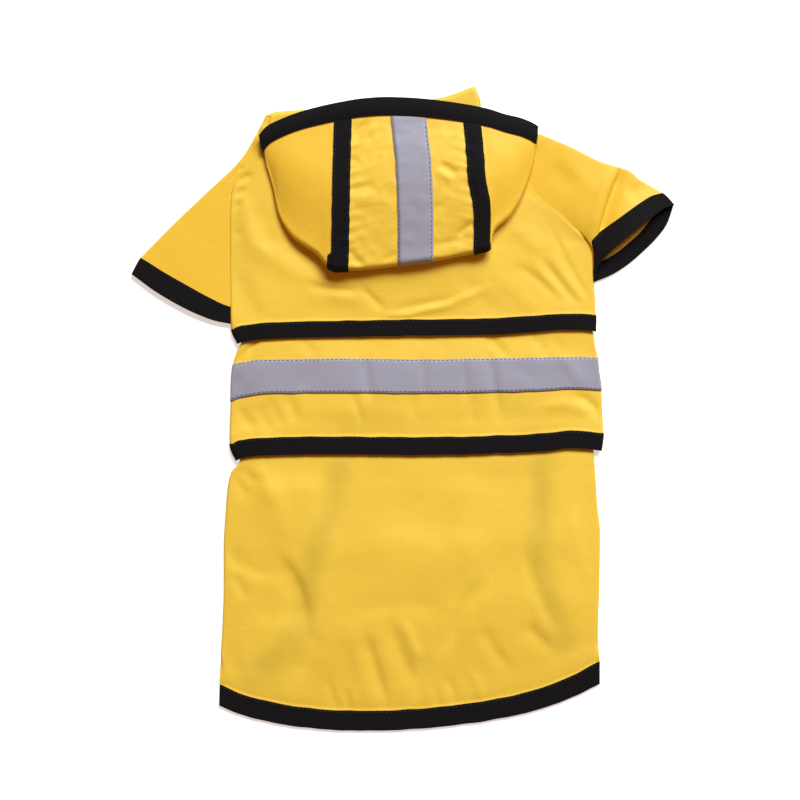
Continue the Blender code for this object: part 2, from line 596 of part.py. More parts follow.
def hood_under():
    """The hood's hidden layer: one rounded solid between the hood and the yoke."""
    upper = []
    for along_rib in np.linspace(-1.0, 1.0, 9):
        row = []
        for side in np.linspace(-1.0, 1.0, 15):
            rib = (len(HOOD_RIBS) - 1) / 2 + HOOD_UNDER_RIBS * side
            level = hood_level(rib)
            run = np.interp(along_rib, (-1, 1), (HOOD_BINDING_WIDTH * 0.6, level - 4.0))
            x, y, z = hood_point(rib, run / level)
            rounding = (1 - along_rib ** 6) * (1 - side ** 6)
            room = z - CLOTH / 2 - 2 * SEAM_GAP - HOOD_REST - CLOTH
            row.append((x, y, HOOD_REST + CLOTH + room * rounding))
        upper.append(row)
    upper = np.array(upper)
    lower = upper.copy()
    lower[:, :, 2] = HOOD_REST
    between("hood_under", CLOTH_LOOK, upper, lower)


def main():
    for item in list(bpy.data.objects):
        bpy.data.objects.remove(item)
    tier("lower", LOWER_ROWS, HEM_EDGE, HEM_BINDING_WIDTH)
    tier("middle", MIDDLE_ROWS, MIDDLE_EDGE, MIDDLE_BINDING_WIDTH)
    tier("yoke", YOKE_ROWS, YOKE_EDGE, YOKE_BINDING_WIDTH)
    middle_strip()
    for row in FRONTS:
        front(row)
    for row in SLEEVES:
        sleeve(row)
    hood()
    hood_under()


main()
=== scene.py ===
"""Looks of the dog raincoat that lies flat with its back up and its hood pushed back.

Tables and shapes are in millimetres, on the plane that the coat lies on: X to the coat's right
sleeve, Y to the neck and Z up. Each cloth piece is a grid of points in the middle of the cloth.
"""
import math
import random

import bmesh
import bpy
import numpy as np
from mathutils import Matrix, Vector, noise


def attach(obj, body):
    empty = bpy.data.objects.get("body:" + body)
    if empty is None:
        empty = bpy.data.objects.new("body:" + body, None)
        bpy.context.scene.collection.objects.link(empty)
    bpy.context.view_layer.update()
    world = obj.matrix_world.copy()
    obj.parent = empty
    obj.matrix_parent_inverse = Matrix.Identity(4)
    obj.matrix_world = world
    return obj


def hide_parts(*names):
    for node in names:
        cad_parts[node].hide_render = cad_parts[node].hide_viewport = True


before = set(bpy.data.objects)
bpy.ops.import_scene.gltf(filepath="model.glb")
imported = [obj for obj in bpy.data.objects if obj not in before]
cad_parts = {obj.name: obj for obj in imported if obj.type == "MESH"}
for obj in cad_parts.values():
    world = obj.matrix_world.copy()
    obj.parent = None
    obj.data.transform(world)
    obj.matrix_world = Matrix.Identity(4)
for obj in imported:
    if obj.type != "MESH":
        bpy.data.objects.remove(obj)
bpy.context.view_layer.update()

MM = 0.001
ORIGIN = np.array((-0.375, 0.235, 0.0))     # middle of the coat's outline, in the tables
BODY = "root"
UV_NAME = "cloth"
GHOST = "see_through"       # attribute: how dark a bound edge below shows through the cloth
WELD = 1e-7                 # metres, between points that are one
TINY = 1e-9

# Walls, and the edges that thick ones are rounded over.
LAYER = 1.0                 # room that each layer of cloth takes between its neighbours
SHELL = 0.5                 # wall of the shell fabric
TAPE = 0.45                 # wall of the reflective tape
BINDING = 1.5               # binding tape folded over an edge
BINDING_ROUNDING = 0.6
BELLY_BINDING = 1.4
BELLY_ROUNDING = 0.5
CUFF_BINDING = 1.2
CUFF_ROUNDING = 0.45
HOOD_BINDING = 2.4
HOOD_ROUNDING = 1.0
HOOD_BINDING_ROUND = 0.9    # how far its middle stands out
SEAM_TAPE = 1.0             # binding that lies over a seam of the hood
ROUNDING_STEPS = 3
ROUNDED_ANGLE = 60          # degrees: sharper edges than this are rounded

# How pieces meet.
TUCK = 3.5                  # how far a panel's edge goes into its binding
SEAM_TUCK = 3.6             # how far a sleeve goes on under the body
SEAM_TUCK_TO = 0.75         # share of the raglan from which on that runs out
SEAM_DROP = 0.7
SEAM_UPPER = 4              # how sharply the tuck keeps to the sleeve's upper layer
STITCH_PITCH = 3.1
STITCH_LENGTH = 2.0
STITCH_RADIUS = 0.27
STITCH_LIFT = STITCH_RADIUS / 4
STITCH_SIDES = 6
STITCH_RINGS = 5
STITCH_INSET = 1.3          # from the edge of a tape or a binding

YOKE_BINDING_WIDTH = 11.2
MIDDLE_BINDING_WIDTH = 12.3
HEM_BINDING_WIDTH = 14.0
BELLY_BINDING_WIDTH = 14.0
HOOD_BINDING_WIDTH = 12.4
MIDDLE_STRIP_FROM = 42.6
MIDDLE_STRIP_TO = 66.9
STRIP_TURN = 95             # degrees that the strip goes round the side folds
STRIP_STITCH_SHIFT = 0.5    # its stitches sit this much nearer to the neck

# Limp cloth: size of its hollows, their depth, and the step in the seed.
LIMP_HOLLOWS = ((34.0, 0.6, 0.0), (12.0, 0.1, 7.0))
CRUMPLE_HOLLOWS = ((13.0, 0.7, 0.0), (6.5, 0.4, 5.0))
CREASE_FULL = 0.25          # share of a crease's length, each way, that has its full height
CREASE_FADE = 0.25          # share of its length over which it then runs out

# Grid steps and rows.
GRID_STEP = 1.9             # distance between grid points on the cloth
TIER_WIDTH = 260
FOLD_STEPS = 12             # round a side fold
LIP_ROWS = (1.5, 1.0, 0.6, 0.3, 0.05, -0.5)     # rows beside the binding, in lip widths
BINDING_ROWS = 9
STRIP_ROWS = 13
FRONT_ROWS = 140
FRONT_LINES = 50
BELLY_STEPS = 90
BELLY_ROWS = 8
SLEEVE_TURNS = 180
SLEEVE_ROWS = 80
CUFF_ROWS = 8
SEAM_STEPS = 40
HOOD_ROWS = 62
HOOD_TURN_ROWS = 14
FACE_ROWS = 13
RIB_STEP = 0.1
TAPE_STEPS = 8
TAPE_UNSTITCHED = 6         # rows at the start of a hood tape that carry no stitches

# Side folds and edges of the tiers.
HALF_TURN = 180
SIDE_RADIUS_LEAST = 0.5
SIDE_LEAST = 3.0            # least cloth in a side fold
SIDE_RETURN = 3.6           # cloth that goes on under a fold which is turned right under
SIDE_RETURN_FROM = 165
SIDE_TIGHT = 4.0            # creases run out over this distance beside a side fold
SHOULDER = 24.0             # the cloth slopes down to its side folds over this width
SHOULDER_DROP = 1.0
SHOULDER_LOW = 1.5          # lift at which that slope starts, and at which it is complete
SHOULDER_HIGH = 3.8
SHOULDER_TURN = 60          # degrees of fold at which it is complete
SWELL_POWER = 3
EDGE_WAVER = 0.5            # how far bound edges stray from their line
WAVER_LENGTH = 12.0
WAVER_DEPTH = 40.0
EDGE_SPAN = 1.0             # over which the slope of a tier's edge is taken
LEFT_SAG_FROM = -96.0       # the middle tier's left end hangs lower from here on
LEFT_SAG_WIDTH = 24.0
SAG_FADE = 20.0
LIP = 0.35                  # the cloth stands up beside the binding that holds it
LIP_WIDTH = 1.3

# The belly bindings, as they show through the back.
GHOST_STEPS = 40
GHOST_INSET = 6.0           # they fade from this far inside their edges, and over this width
GHOST_FADE = 13.0
GHOST_LEVEL = 0.9
GHOST_PATCHES = 0.25        # how much they vary, in patches of this size
GHOST_PATCH = 25.0
GHOST_SEED = 41.0
GHOST_TOP = -20.0           # they show less above this line
GHOST_TOP_FADE = 25.0
GHOST_TOP_SHARE = 0.3
GHOST_STRENGTH = 0.2

# Colours.
BLACK = (0.0, 0.0, 0.0)
WHITE = (1.0, 1.0, 1.0)
CLOTH_DEEP = (0.79, 0.535, 0.045)
CLOTH_PALE = (0.90, 0.68, 0.084)
PAINTED_SHADE_CLOTH_DEEP = (0.80, 0.505, 0.032)      # painted shade: a deeper, more orange copy of the cloth for the sleeves and hood sides
PAINTED_SHADE_CLOTH_PALE = (0.90, 0.635, 0.060)
GHOST_COLOUR = (0.17, 0.24, 0.03)
# binding colours, from painted shade between its ribs to a painted highlight on them
BINDING_DEEP = (0.0002, 0.0002, 0.0006)
BINDING_PALE = (0.0075, 0.0084, 0.0125)
TAPE_DEEP = (0.272, 0.296, 0.385)
TAPE_PALE = (0.372, 0.396, 0.505)
BLACK_THREAD = (0.015, 0.015, 0.018)
GREY_THREAD = (0.14, 0.14, 0.17)
TABLE_WHITE = (0.93, 0.93, 0.93, 1.0)
SURROUND_WARM = (0.23, 0.09, 0.03)
SURROUND_PALE = (0.9, 0.9, 0.9)

# Room, in metres and watts.
CAMERA_PLACE = (-0.0017, 0.0057, 1.5)
VIEW_WIDTH = 0.560          # of the surface, in the camera's view
SENSOR = 36.0               # millimetres
LAMP_PLACE = (2.0, 5.6, 5.2)
LAMP_SIZE = (5.4, 2.8)
LAMP_POWER = 875.0
TABLE_HALF = 8.0
TABLE_CLEAR = 0.0002

# Lower edge of each tier: x, y.
YOKE_EDGE = ((-118, 44.2), (-110, 46.8), (-98, 48.4), (-60, 49.6), (0, 50.8), (60, 51.5),
             (90, 53.3), (113, 55), (127, 54.6), (138, 53.4))
MIDDLE_EDGE = ((-118, -36.8), (-112, -34.6), (-100, -32.8), (-47, -31.9), (12, -32.4),
               (60, -31.4), (96, -29.8), (120, -27.7), (138, -29.4))
HEM_EDGE = ((-129, -207.6), (-114, -213.9), (-97, -218.3), (-72, -222.8), (-38, -225.2),
            (-13, -225.2), (12, -223.9), (45, -220.4), (79, -214.6), (104, -207.6),
            (121, -200.8), (138, -192.2))

# Rows of each tier: up = distance above the lower edge, left and right = its sides,
# lift = top face above the surface it lies on, turn = degrees that each side is folded under,
# swell = how far the middle of the cloth rises.
ROW_COLUMNS = ("up", "left", "right", "lift", "turn_left", "turn_right", "swell")
YOKE_ROWS = (
    (0, -115.5, 134.6, 5.6, 80, 85, 0),
    (11.2, -120, 134.8, 5.6, 60, 85, 0),
    (15, -120.5, 134.5, 5.5, 70, 95, 0.2),
    (22, -120.8, 134.3, 5.2, 80, 125, 0.6),
    (28, -120.9, 134, 4.9, 90, 155, 1),
    (36, -121, 133.6, 4.6, 100, 180, 1.2),
    (48, -121.1, 133.1, 4.4, 100, 180, 1),
    (59, -121.1, 132.5, 4.4, 100, 100, 0.4),
    (68, -121.1, 126.4, 4.4, 100, 30, 0),
    (80, -121.1, 113.2, 4.4, 100, 0, 0),
    (92, -121, 98.8, 4.4, 100, 0, 0),
    (102, -120, 89.6, 4.4, 90, 0, 0),
    (112, -116.6, 86.6, 4.4, 60, 0, 0),
    (124, -107.6, 86.8, 4.4, 30, 0, 0),
    (138, -100.1, 87.5, 4.4, 10, 0, 0),
)
MIDDLE_ROWS = (
    (0, -116.6, 138.6, 5.6, 85, 85, 0),
    (12.3, -121, 140, 5.6, 85, 85, 0),
    (16, -121.1, 139.9, 5.5, 95, 95, 0.2),
    (25, -121.1, 139.5, 4.6, 140, 140, 1),
    (34, -120.8, 139.2, 4.2, 180, 180, 1.6),
    (45, -120.3, 138.6, 3.9, 180, 180, 2),
    (58, -119.9, 136.8, 3.8, 180, 180, 1.8),
    (68, -118.6, 136, 3.8, 180, 180, 1.2),
    (76, -115.8, 134.4, 3.8, 180, 180, 0.5),
    (82, -112.8, 133.6, 3.8, 150, 150, 0),
    (88, -112.8, 132.2, 3.7, 90, 90, 0),
    (93, -112.8, 131, 3.6, 40, 40, 0),
    (99, -112.8, 130.6, 3.5, 10, 10, 0),
)
LOWER_ROWS = (
    (0, -128.8, 137.9, 1.5, 0, 0, 0),
    (14, -128.4, 137.9, 1.5, 0, 0, 0),
    (18, -128.3, 137.5, 1.9, 0, 0, 0.1),
    (22, -128.1, 137.2, 2.2, 10, 10, 0.2),
    (27, -127.9, 136.9, 2.4, 25, 25, 0.3),
    (34, -127.5, 136.7, 2.6, 70, 70, 0.4),
    (41, -127.1, 136.5, 2.9, 115, 115, 0.6),
    (49, -126.7, 136.6, 3.2, 150, 150, 0.9),
    (58, -126.3, 136.8, 3.4, 180, 180, 1.2),
    (70, -125.8, 137.2, 3.7, 180, 180, 1.6),
    (92, -125.3, 137.6, 3.8, 180, 180, 2.1),
    (122, -125.3, 137.9, 3.8, 180, 180, 2.1),
    (146, -124, 136, 3.8, 180, 180, 1.3),
    (166, -122.6, 134.9, 3.8, 180, 180, 0.5),
    (178, -119.9, 134.2, 3.8, 180, 180, 0),
    (186, -114.2, 133.8, 3.8, 150, 150, 0),
    (192, -113.8, 133.4, 3.7, 90, 90, 0),
    (199, -113.6, 133.2, 3.5, 40, 40, 0),
    (210, -113.4, 133, 3.4, 10, 10, 0),
)

# Creases: a ridge, or a trough where the height is below 0, from start to end. Bow is its
# sideways bend, and near and far are its half widths to the left and right of that way.
CREASE_COLUMNS = ("x0", "y0", "x1", "y1", "bow", "near", "far", "height")
LOWER_CREASES = (
    (-25.2, -160, -11.9, -204, 0, 3.2, 6, -1.2),
    (-36, -156, -24, -202, 0, 7, 5, 0.5),
    (-8.4, -151, 7, -190, 1, 4.5, 7, -1.2),
    (1, -150, 12, -176, 0, 3, 4.5, 0.8),
    (9, -204, 16, -172, 0, 5, 4, -0.9),
    (33.3, -165, 53.2, -122, -2, 6, 7, -1.4),
    (39, -166, 60, -126, -2, 5, 6, 0.7),
    (-40, -143, 28, -139, -4, 9, 7, -0.7),
    (36, -138, 42, -112, -2, 6, 6, -0.4),
    (56.7, -152, 73.5, -180, 2, 3.5, 6, -0.8),
    (86.8, -152, 103.3, -169, 0, 3.5, 6, -0.7),
    (86, -98, 104, -152, 2, 6, 4.5, -0.7),
    (92, -132, 106, -160, 2, 5, 5, 0.8),
    (91.7, -40, 98, -90, 2, 7, 7, -0.5),
    (-124, -101, -93, -115, 3, 8, 5, -0.8),
    (-118, -116, -110, -132, 0, 4, 4, -0.7),
    (-78, -98, -73, -122, 0, 6, 6, 0.5),
    (-84, -106, -67.6, -152, -4, 4.5, 12, -1.7),
    (-60, -154, -76, -186, -2, 6, 7, -0.8),
    (-72, -160, -92, -194, 0, 7, 7, 0.6),
    (-119, -38, -100, -52, 0, 3.2, 4, -0.6),
    (-120, -46, -108, -62, 0, 3, 4, -0.5),
    (-101, -38, -92, -66, 0, 8, 6, 0.9),
    (-88, -60, -82, -92, 0, 6, 8, 0.5),
    (-42, -44, -44, -92, 3, 8, 7, -0.4),
    (-100, -60, -56, -58, 0, 12, 34, 1.6),
    (-104, -142, -62, -138, 0, 22, 12, -1.1),
    (-20, -100, 60, -98, 0, 16, 26, 1),
    (96, -84, 120, -88, 0, 16, 26, 0.7),
    (40, -48, 46, -104, 3, 12, 9, 0.5),
    (10, -52, 2, -110, 3, 14, 12, -0.4),
    (118, -70, 130, -120, 2, 5, 5, 0.5),
    (-114, -150, -104, -196, 3, 6, 6, 0.5),
    (-52, -190, -46, -212, 0, 2.5, 3.5, -0.6),
    (-40, -196, -36, -214, 0, 2, 3, -0.5),
    (22, -192, 26, -210, 0, 2, 3, -0.5),
    (32, -188, 38, -208, 0, 2.5, 3, -0.5),
    (48, -182, 56, -204, 0, 2.5, 3.5, 0.4),
)
MIDDLE_CREASES = (
    (-26, 34, -21, 6, 1, 3, 4, -0.8),
    (-60, 34, -72, 14, 0, 4, 5, -0.5),
    (14, 34, 15, 10, 0, 3, 3, -0.5),
    (42, 32, 44, 6, 0, 4, 3, -0.6),
    (61, 36, 67, -4, 0, 3, 4, -0.9),
    (73, 31, 94, 20, 0, 6, 5, -0.35),
    (-34.5, 9, -28, -10, 0, 2, 3, -0.7),
    (-79, 8, -74, -8, 0, 3, 5, -0.8),
    (-94, 6, -84, -12, 0, 3, 5, -0.5),
    (-100, 2, -92, -16, 0, 3, 5, -0.6),
    (-114, 0, -104, -14, 0, 3, 5, -0.7),
    (6, 8, 9, -8, 0, 3, 4, -0.4),
    (50, 8, 47, -10, 0, 3, 4, -0.4),
    (-98, 32, -108, 14, 0, 4, 4, 0.5),
    (-118, 30, -102, 48, 0, 2, 3, -1.4),
    (-116, 22, -108, 40, 0, 2.5, 3, 0.8),
    (-70, 48, -62, 38, 0, 3, 4, -0.5),
    (60, 50, 72, 38, 0, 3, 4, -0.7),
    (92, 50, 100, 38, 0, 4, 4, -0.5),
    (106, 48, 112, 36, 0, 4, 4, -0.5),
    (134, 48, 139, 24, 0, 3, 3, -0.8),
    (122, 9, 138, -6, -2, 3, 3, -1.2),
    (98, 2, 132, -4, -3, 5, 5, 0.9),
    (108, 40, 126, 16, 0, 5, 4, 0.6),
    (-60, -2, 40, -6, 0, 10, 10, 0.7),
)
YOKE_CREASES = (
    (-11.5, 64.8, 6, 65.5, 0, 1.4, 1.6, 1.1),
    (4, 65.6, 32, 72, -0.6, 1.6, 2.4, 1.2),
    (28, 71, 58, 84, 0, 2, 3.2, 0.8),
    (-4, 69.5, 32, 76.5, 0, 2.4, 3, -0.7),
    (-66, 87, -33, 83, 1, 2, 3.5, -0.9),
    (-28, 84, -14, 70.5, 0, 1.8, 3, -0.9),
    (-52, 80, -30, 74, 0, 5, 4, 0.6),
    (81, 99.5, 106, 80, -1, 1.8, 4, -0.75),
    (98, 104, 122, 74, 0.6, 1.8, 4.2, -0.85),
    (106, 122, 132, 73, 1, 1.4, 3.2, -0.6),
    (92, 101, 113, 78, 0.6, 3.5, 3, 0.6),
    (104, 106, 126, 76, 0.8, 3, 3, 0.6),
    (64, 96, 92, 68, 0, 6, 6, 0.5),
    (40, 92, 66, 66, 0, 6, 7, -0.6),
    (78, 126, 98, 110, 0, 8, 6, 0.7),
    (-112, 150, -106, 112, 0, 5, 6, 0.9),
    (-106, 116, -78, 96, 0, 8, 7, 0.9),
    (-82, 98, -52, 86, 0, 7, 6, 0.6),
    (-96, 140, -92, 112, 2, 6, 5, -0.7),
    (-114, 92, -98, 62, 2, 6, 8, -0.7),
    (-118, 158, -106, 163, 0, 1.6, 1.8, -1.1),
    (-121, 148, -110, 153, 0, 1.5, 1.8, -1.1),
    (-121, 140, -113, 143, 0, 1.8, 2, -0.8),
    (-121, 120, -112, 124, 0, 2, 2.5, -0.6),
    (-40, 96, 52, 106, 0, 26, 14, 2.2),
)

# Tiers of the back, the lowest first: trim = its binding, left_sag = how far its left end hangs
# lower. Cloth creases where it is loose. It is loose by least_loose at its ends, comes fully
# loose from loose_from on, over the loosening, and is tight again at loose_to.
TIER_COLUMNS = ("rows", "edge", "binding", "creases", "trim", "rests_on", "seed", "left_sag",
                "least_loose", "loose_from", "loosening", "loose_to", "tightening")
TIERS = {
    "lower": (LOWER_ROWS, HEM_EDGE, HEM_BINDING_WIDTH, LOWER_CREASES, "hem_binding",
              ["front_left_cloth", "front_right_cloth"], 3.0, 0, 0, 6, 14, 192, 18),
    "middle": (MIDDLE_ROWS, MIDDLE_EDGE, MIDDLE_BINDING_WIDTH, MIDDLE_CREASES,
               "middle_binding", ["back_lower_cloth"], 11.0, 2.4, 0.15, 8, 10, 88, 10),
    "yoke": (YOKE_ROWS, YOKE_EDGE, YOKE_BINDING_WIDTH, YOKE_CREASES, "yoke_binding",
             ["back_middle_cloth"], 17.0, 0, 0.15, 8, 10, math.inf, 1),
}

# Raglan sleeves: the four edges of the flat shape, x, y.
LEFT_RAGLAN = ((-95.5, 205.2), (-99, 188), (-102.6, 172), (-106, 154),
               (-107.6, 136), (-108.6, 110), (-109.6, 84))
LEFT_CUFF = ((-189.4, 93.6), (-185, 90.4), (-174.4, 82.6), (-159.2, 73.4), (-144, 65.9),
             (-130.4, 61), (-117, 58.6))
LEFT_TOP_FOLD = ((-95.5, 205.2), (-103, 190.5), (-112.2, 175.3), (-139.3, 148.7),
                 (-156.8, 132), (-173.6, 115.1), (-183.4, 104.6), (-189.4, 93.6))
LEFT_UNDERARM = ((-109.6, 84), (-117, 58.6))
RIGHT_RAGLAN = ((90.2, 193.6), (87.4, 175), (86.6, 160.4), (91, 151.6), (102.5, 141.2),
                (113.4, 132.4), (123.4, 123.6), (130.2, 117.4), (132.2, 111.6), (132.8, 104))
RIGHT_CUFF_UPPER = ((189.2, 142), (183.5, 140.2), (175.4, 134.6), (162.3, 124.2),
                    (154.4, 117.8), (146.6, 111.2), (138.4, 103), (134.4, 95.5), (133.8, 88.4))
RIGHT_CUFF_LOWER = ((189.2, 142), (184.8, 129.4), (177.3, 119.1), (168.7, 110.5),
                    (158, 101.2), (146.2, 93.6), (133.8, 88.4))
RIGHT_TOP_FOLD = ((90.2, 193.6), (98, 190.6), (117, 182.6), (138.6, 172), (158.2, 165.8),
                  (165, 160), (182.7, 149), (189.2, 142))
RIGHT_UNDERARM = ((132.8, 104), (133.8, 88.4))
# Its two heights are those of the upper layer, mouth_bulge = how far the mouth stands open,
# tape_outer and tape_inner = width of the cuff binding at the top fold and at the underarm, and
# tape_bulge = what its upper side has more between them.
SLEEVE_COLUMNS = ("side", "raglan", "cuff_upper", "cuff_lower", "top_fold", "underarm",
                  "raglan_height", "cuff_height", "mouth_bulge", "tape_outer", "tape_inner",
                  "tape_bulge")
SLEEVES = (
    ("left", LEFT_RAGLAN, LEFT_CUFF, LEFT_CUFF, LEFT_TOP_FOLD, LEFT_UNDERARM, 2.2, 3, 0,
     13.2, 11, 2.8),
    ("right", RIGHT_RAGLAN, RIGHT_CUFF_UPPER, RIGHT_CUFF_LOWER, RIGHT_TOP_FOLD,
     RIGHT_UNDERARM, 3.9, 4.6, 6, 11.6, 11.4, 3.8),
)
SLEEVE_CREASES = (
    (152.2, 167.5, 136.2, 119, 1.2, 7, 1.2, -3.4),
    (146.6, 168, 130.6, 120, 1.2, 3, 4, 0.9),
    (158, 148, 176, 156, 0, 7, 9, -1.6),
    (112, 178, 140, 150, 4, 9, 8, 0.5),
    (104, 170, 122, 154, 0, 6, 7, -0.5),
    (-99, 207, -92.5, 197, 0, 1.2, 2.6, -2.2),
    (-103, 194, -96, 190, 0, 1.6, 1.6, -0.7),
    (-114, 168, -106, 164, 0, 1.6, 1.6, -1),
    (-120.5, 150, -116, 148, 0, 1.4, 1.4, -0.8),
)
FLATNESS = 0.25             # how flat a sleeve lies, from 0 for flat to 1 for round
SLEEVE_LOW = 0.6            # middle of a sleeve's lower layer
SLEEVE_LIMPNESS = 0.5
SLEEVE_SEED = 23.0
CUFF_FREE = 0.7             # share of the cuff binding that holds no cloth
CUFF_SHARE_MOST = 0.48      # most of a sleeve's length that the binding takes
CUFF_SMOOTH_FROM = 0.75     # creases run out from this share of the length on
CUFF_SMOOTH_OVER = 0.2

# Fronts: outer edge, neck edge, inner edge down to the belly cut-away's end, and hem.
# overlap_lift = how far it rises over the other one, cut_away = on which side its gap lies.
LEFT_FRONT_OUTER = ((-94.5, 205.6), (-97.4, 186.2), (-99.8, 170.8), (-103, 154),
                    (-104.8, 136), (-105.8, 110), (-106.6, 84), (-106.6, 68),
                    (-105, 54), (-105, 42), (-112, 30), (-113.4, 18),
                    (-113.6, -12), (-106, -30), (-106, -40), (-112, -50),
                    (-116, -64), (-118.4, -84), (-119.2, -100), (-119.2, -144),
                    (-119.8, -164), (-120.4, -184))
LEFT_FRONT_NECK = ((-94.5, 205.6), (-88.9, 207.6), (-60, 209.4), (-20, 211),
                   (26, 217.4), (50.4, 225.7))
LEFT_FRONT_INNER = ((50.4, 225.7), (54.6, 212.5), (53, 80), (36, 62), (14, 46),
                    (-21, 14), (-52, -34), (-55, -60), (-64, -88),
                    (-72, -118), (-78, -148), (-88, -163), (-107, -180))
LEFT_FRONT_HEM = ((-120.4, -184), (-107, -180))
RIGHT_FRONT_OUTER = ((86.4, 190.6), (85.4, 174), (85, 160), (89.6, 150.6),
                     (101.2, 140.2), (112.2, 131.4), (121.6, 122.8), (126.6, 114),
                     (127.4, 104), (127.4, 44),
                     (130, 28), (132.2, 12), (132.2, -12), (127, -30),
                     (127, -46), (128.2, -62), (129.4, -82), (131.2, -104),
                     (131.2, -122), (130.4, -142), (129.8, -162))
RIGHT_FRONT_NECK = ((86.4, 190.6), (60, 196), (30, 200), (6, 206))
RIGHT_FRONT_INNER = ((6, 206), (6, 160), (6, 80), (24, 62), (40, 48),
                     (72, 20), (105, -34), (103, -61), (101, -99),
                     (106, -121), (115, -149), (120, -158))
RIGHT_FRONT_HEM = ((129.8, -162), (120, -158))
FRONT_COLUMNS = ("side", "outer", "neck", "inner", "hem", "overlap_lift", "cut_away")
FRONTS = (
    ("left", LEFT_FRONT_OUTER, LEFT_FRONT_NECK, LEFT_FRONT_INNER, LEFT_FRONT_HEM, 0, 1),
    ("right", RIGHT_FRONT_OUTER, RIGHT_FRONT_NECK, RIGHT_FRONT_INNER, RIGHT_FRONT_HEM, 1.3, -1),
)
OVERLAP_FROM = 60.0
OVERLAP_TO = 70.0
OVERLAP_END = 46.0
BELLY_BINDING_FROM = 0.42   # share of the inner edge at which the cut-away's binding starts
BELLY_BINDING_CLEAR = 0.05  # room below it
BELLY_OVERLAP = 0.5         # how far it comes over the cloth

# Hood ribs, from the face edge to where the hood turns under: plan of both ends, sideways
# bow, height of the face edge, of the turn and of the crown between, half height of the turn.
HOOD_COLUMNS = ("rim_x", "rim_y", "end_x", "end_y", "bow", "rim_z", "end_z", "crown", "turn")
HOOD_RIBS = (
    (-100.1, 190.1, -97.3, 176.6, 0, 7.6, 7.2, 0, 1.2),
    (-94.5, 196.2, -90.6, 154, 0, 8.4, 7.3, 1, 1.1),
    (-84, 201.3, -86.2, 134.8, 0, 9.6, 8.5, 2.2, 1.5),
    (-70, 206.3, -76.6, 119.2, 0, 10.9, 10.9, 3.2, 2.6),
    (-56, 209.9, -60.2, 107.2, 0, 11.8, 13.6, 3.9, 3.7),
    (-42.3, 212.6, -47, 95.6, 0, 13, 16.2, 3.7, 4.7),
    (-27, 214.9, -27.5, 96.4, 0, 13.8, 16.4, 3.5, 4.8),
    (-12, 215.8, -9.5, 98.4, 0, 14, 16.4, 3.7, 4.8),
    (2.6, 215.4, 8.4, 100.6, 0, 14, 16.4, 3.7, 4.8),
    (18, 214.2, 23, 102.6, 0, 14, 16.4, 3.7, 4.8),
    (33, 212.4, 38, 105.6, 1, 13.4, 16, 4.1, 4.6),
    (47.6, 210.2, 53.3, 108.6, 2, 12.4, 15.4, 4.6, 4.4),
    (53.8, 209, 60, 111, 1.8, 12, 14.6, 4.4, 4.1),
    (60, 207.6, 63, 122.6, 1.6, 11.6, 13.2, 4.2, 3.6),
    (71, 204.2, 74.2, 133.6, 1, 10.6, 11.4, 3.2, 2.7),
    (81, 202, 81.8, 146, 0.4, 9.4, 10.2, 2, 2.1),
    (88.5, 199.2, 88.7, 164.6, 0, 8.6, 9.2, 1, 1.6),
    (93.8, 196.4, 92.5, 180, 0, 7.6, 8, 0, 1.3),
)
HOOD_LEFT_SEAM = 5
HOOD_RIGHT_SEAM = 11
HOOD_END = len(HOOD_RIBS) - 1
HOOD_TURN_ANGLE = 165.0
HOOD_TURN_REACH = 4.0
HOOD_TAPE_TURN = 0.57       # share of the turn that the tapes go round
HOOD_OUTER = 0.3            # ribs between a side panel's end and the hood's
HOOD_LOOSENING = 8.0        # creases start over this distance behind the face binding
HOOD_TURN_LOOSE = 0.4       # share of the turn over which they run out
HOOD_LIMPNESS = 0.6
HOOD_SEED = 31.0
CRUMPLE_SEED = 53.0
SEAM_FADE = 0.3             # ribs beside a seam over which the centre's crumples start

# Puckers of the centre panel: the seam, the way to the centre and the seed. Distances from the
# seam are in ribs, and widths, strengths and spacings are ranges in pitches.
PUCKERED_SEAMS = ((HOOD_LEFT_SEAM, 1, 5), (HOOD_RIGHT_SEAM, -1, 9))
PUCKER_CLEAR = 0.15
PUCKER_RISE = 0.3
PUCKER_REACH = 0.95
PUCKER_HEIGHT = 1.2
PUCKER_SUNK = 0.3
PUCKER_SLANT = 3.0
PUCKER_PITCH = 6.5
PUCKER_WIDTHS = (0.22, 0.4)
PUCKER_STRENGTHS = (0.35, 1.0)
PUCKER_SPACINGS = (0.7, 1.5)
PUCKERS_TO = 130.0

# Tapes on the hood: the rib that each one's middle follows from the face edge to the end, its
# width and wall, its rounded edge, and how far its end spreads to the left.
TAPE_PHASES = (0, 0.5, 0.8, 1)
TAPE_CENTRES = ("begin", "middle", "low", "end")
TAPE_COLUMNS = ("name", "node", "slot", "look", "thread", *TAPE_CENTRES, "width", "wall",
                "rounding", "flare")
HOOD_TAPES = (
    ("hood_seam_left", "hood_seam_binding_left", "binding_fabric", "binding", "black_thread",
     5.07, 5.12, 5.16, 5.17, 12.4, SEAM_TAPE, 0.35, 3),
    ("hood_seam_right", "hood_seam_binding_right", "binding_fabric", "binding", "black_thread",
     10.88, 10.86, 11.23, 11.20, 12.3, SEAM_TAPE, 0.35, 0),
    ("hood_strip", "hood_reflective_strip", "reflective_tape", "tape", "grey_thread",
     7.98, 8.15, 8.10, 8.03, 24.8, TAPE, 0, 0),
)
RIBS_ASIDE = 1.6            # ribs to each side that a tape may reach, and steps to them
RIB_STEPS_ASIDE = 16
FLARE_FROM = 0.93           # phase from which on a tape's end spreads
FLARE_OVER = 0.04
TAPE_WAVER = 0.3
TAPE_WAVERS = 14.0
TAPE_SEED = 2.0
TAPE_RISE = 6.0             # a tape comes up onto the panels over this distance
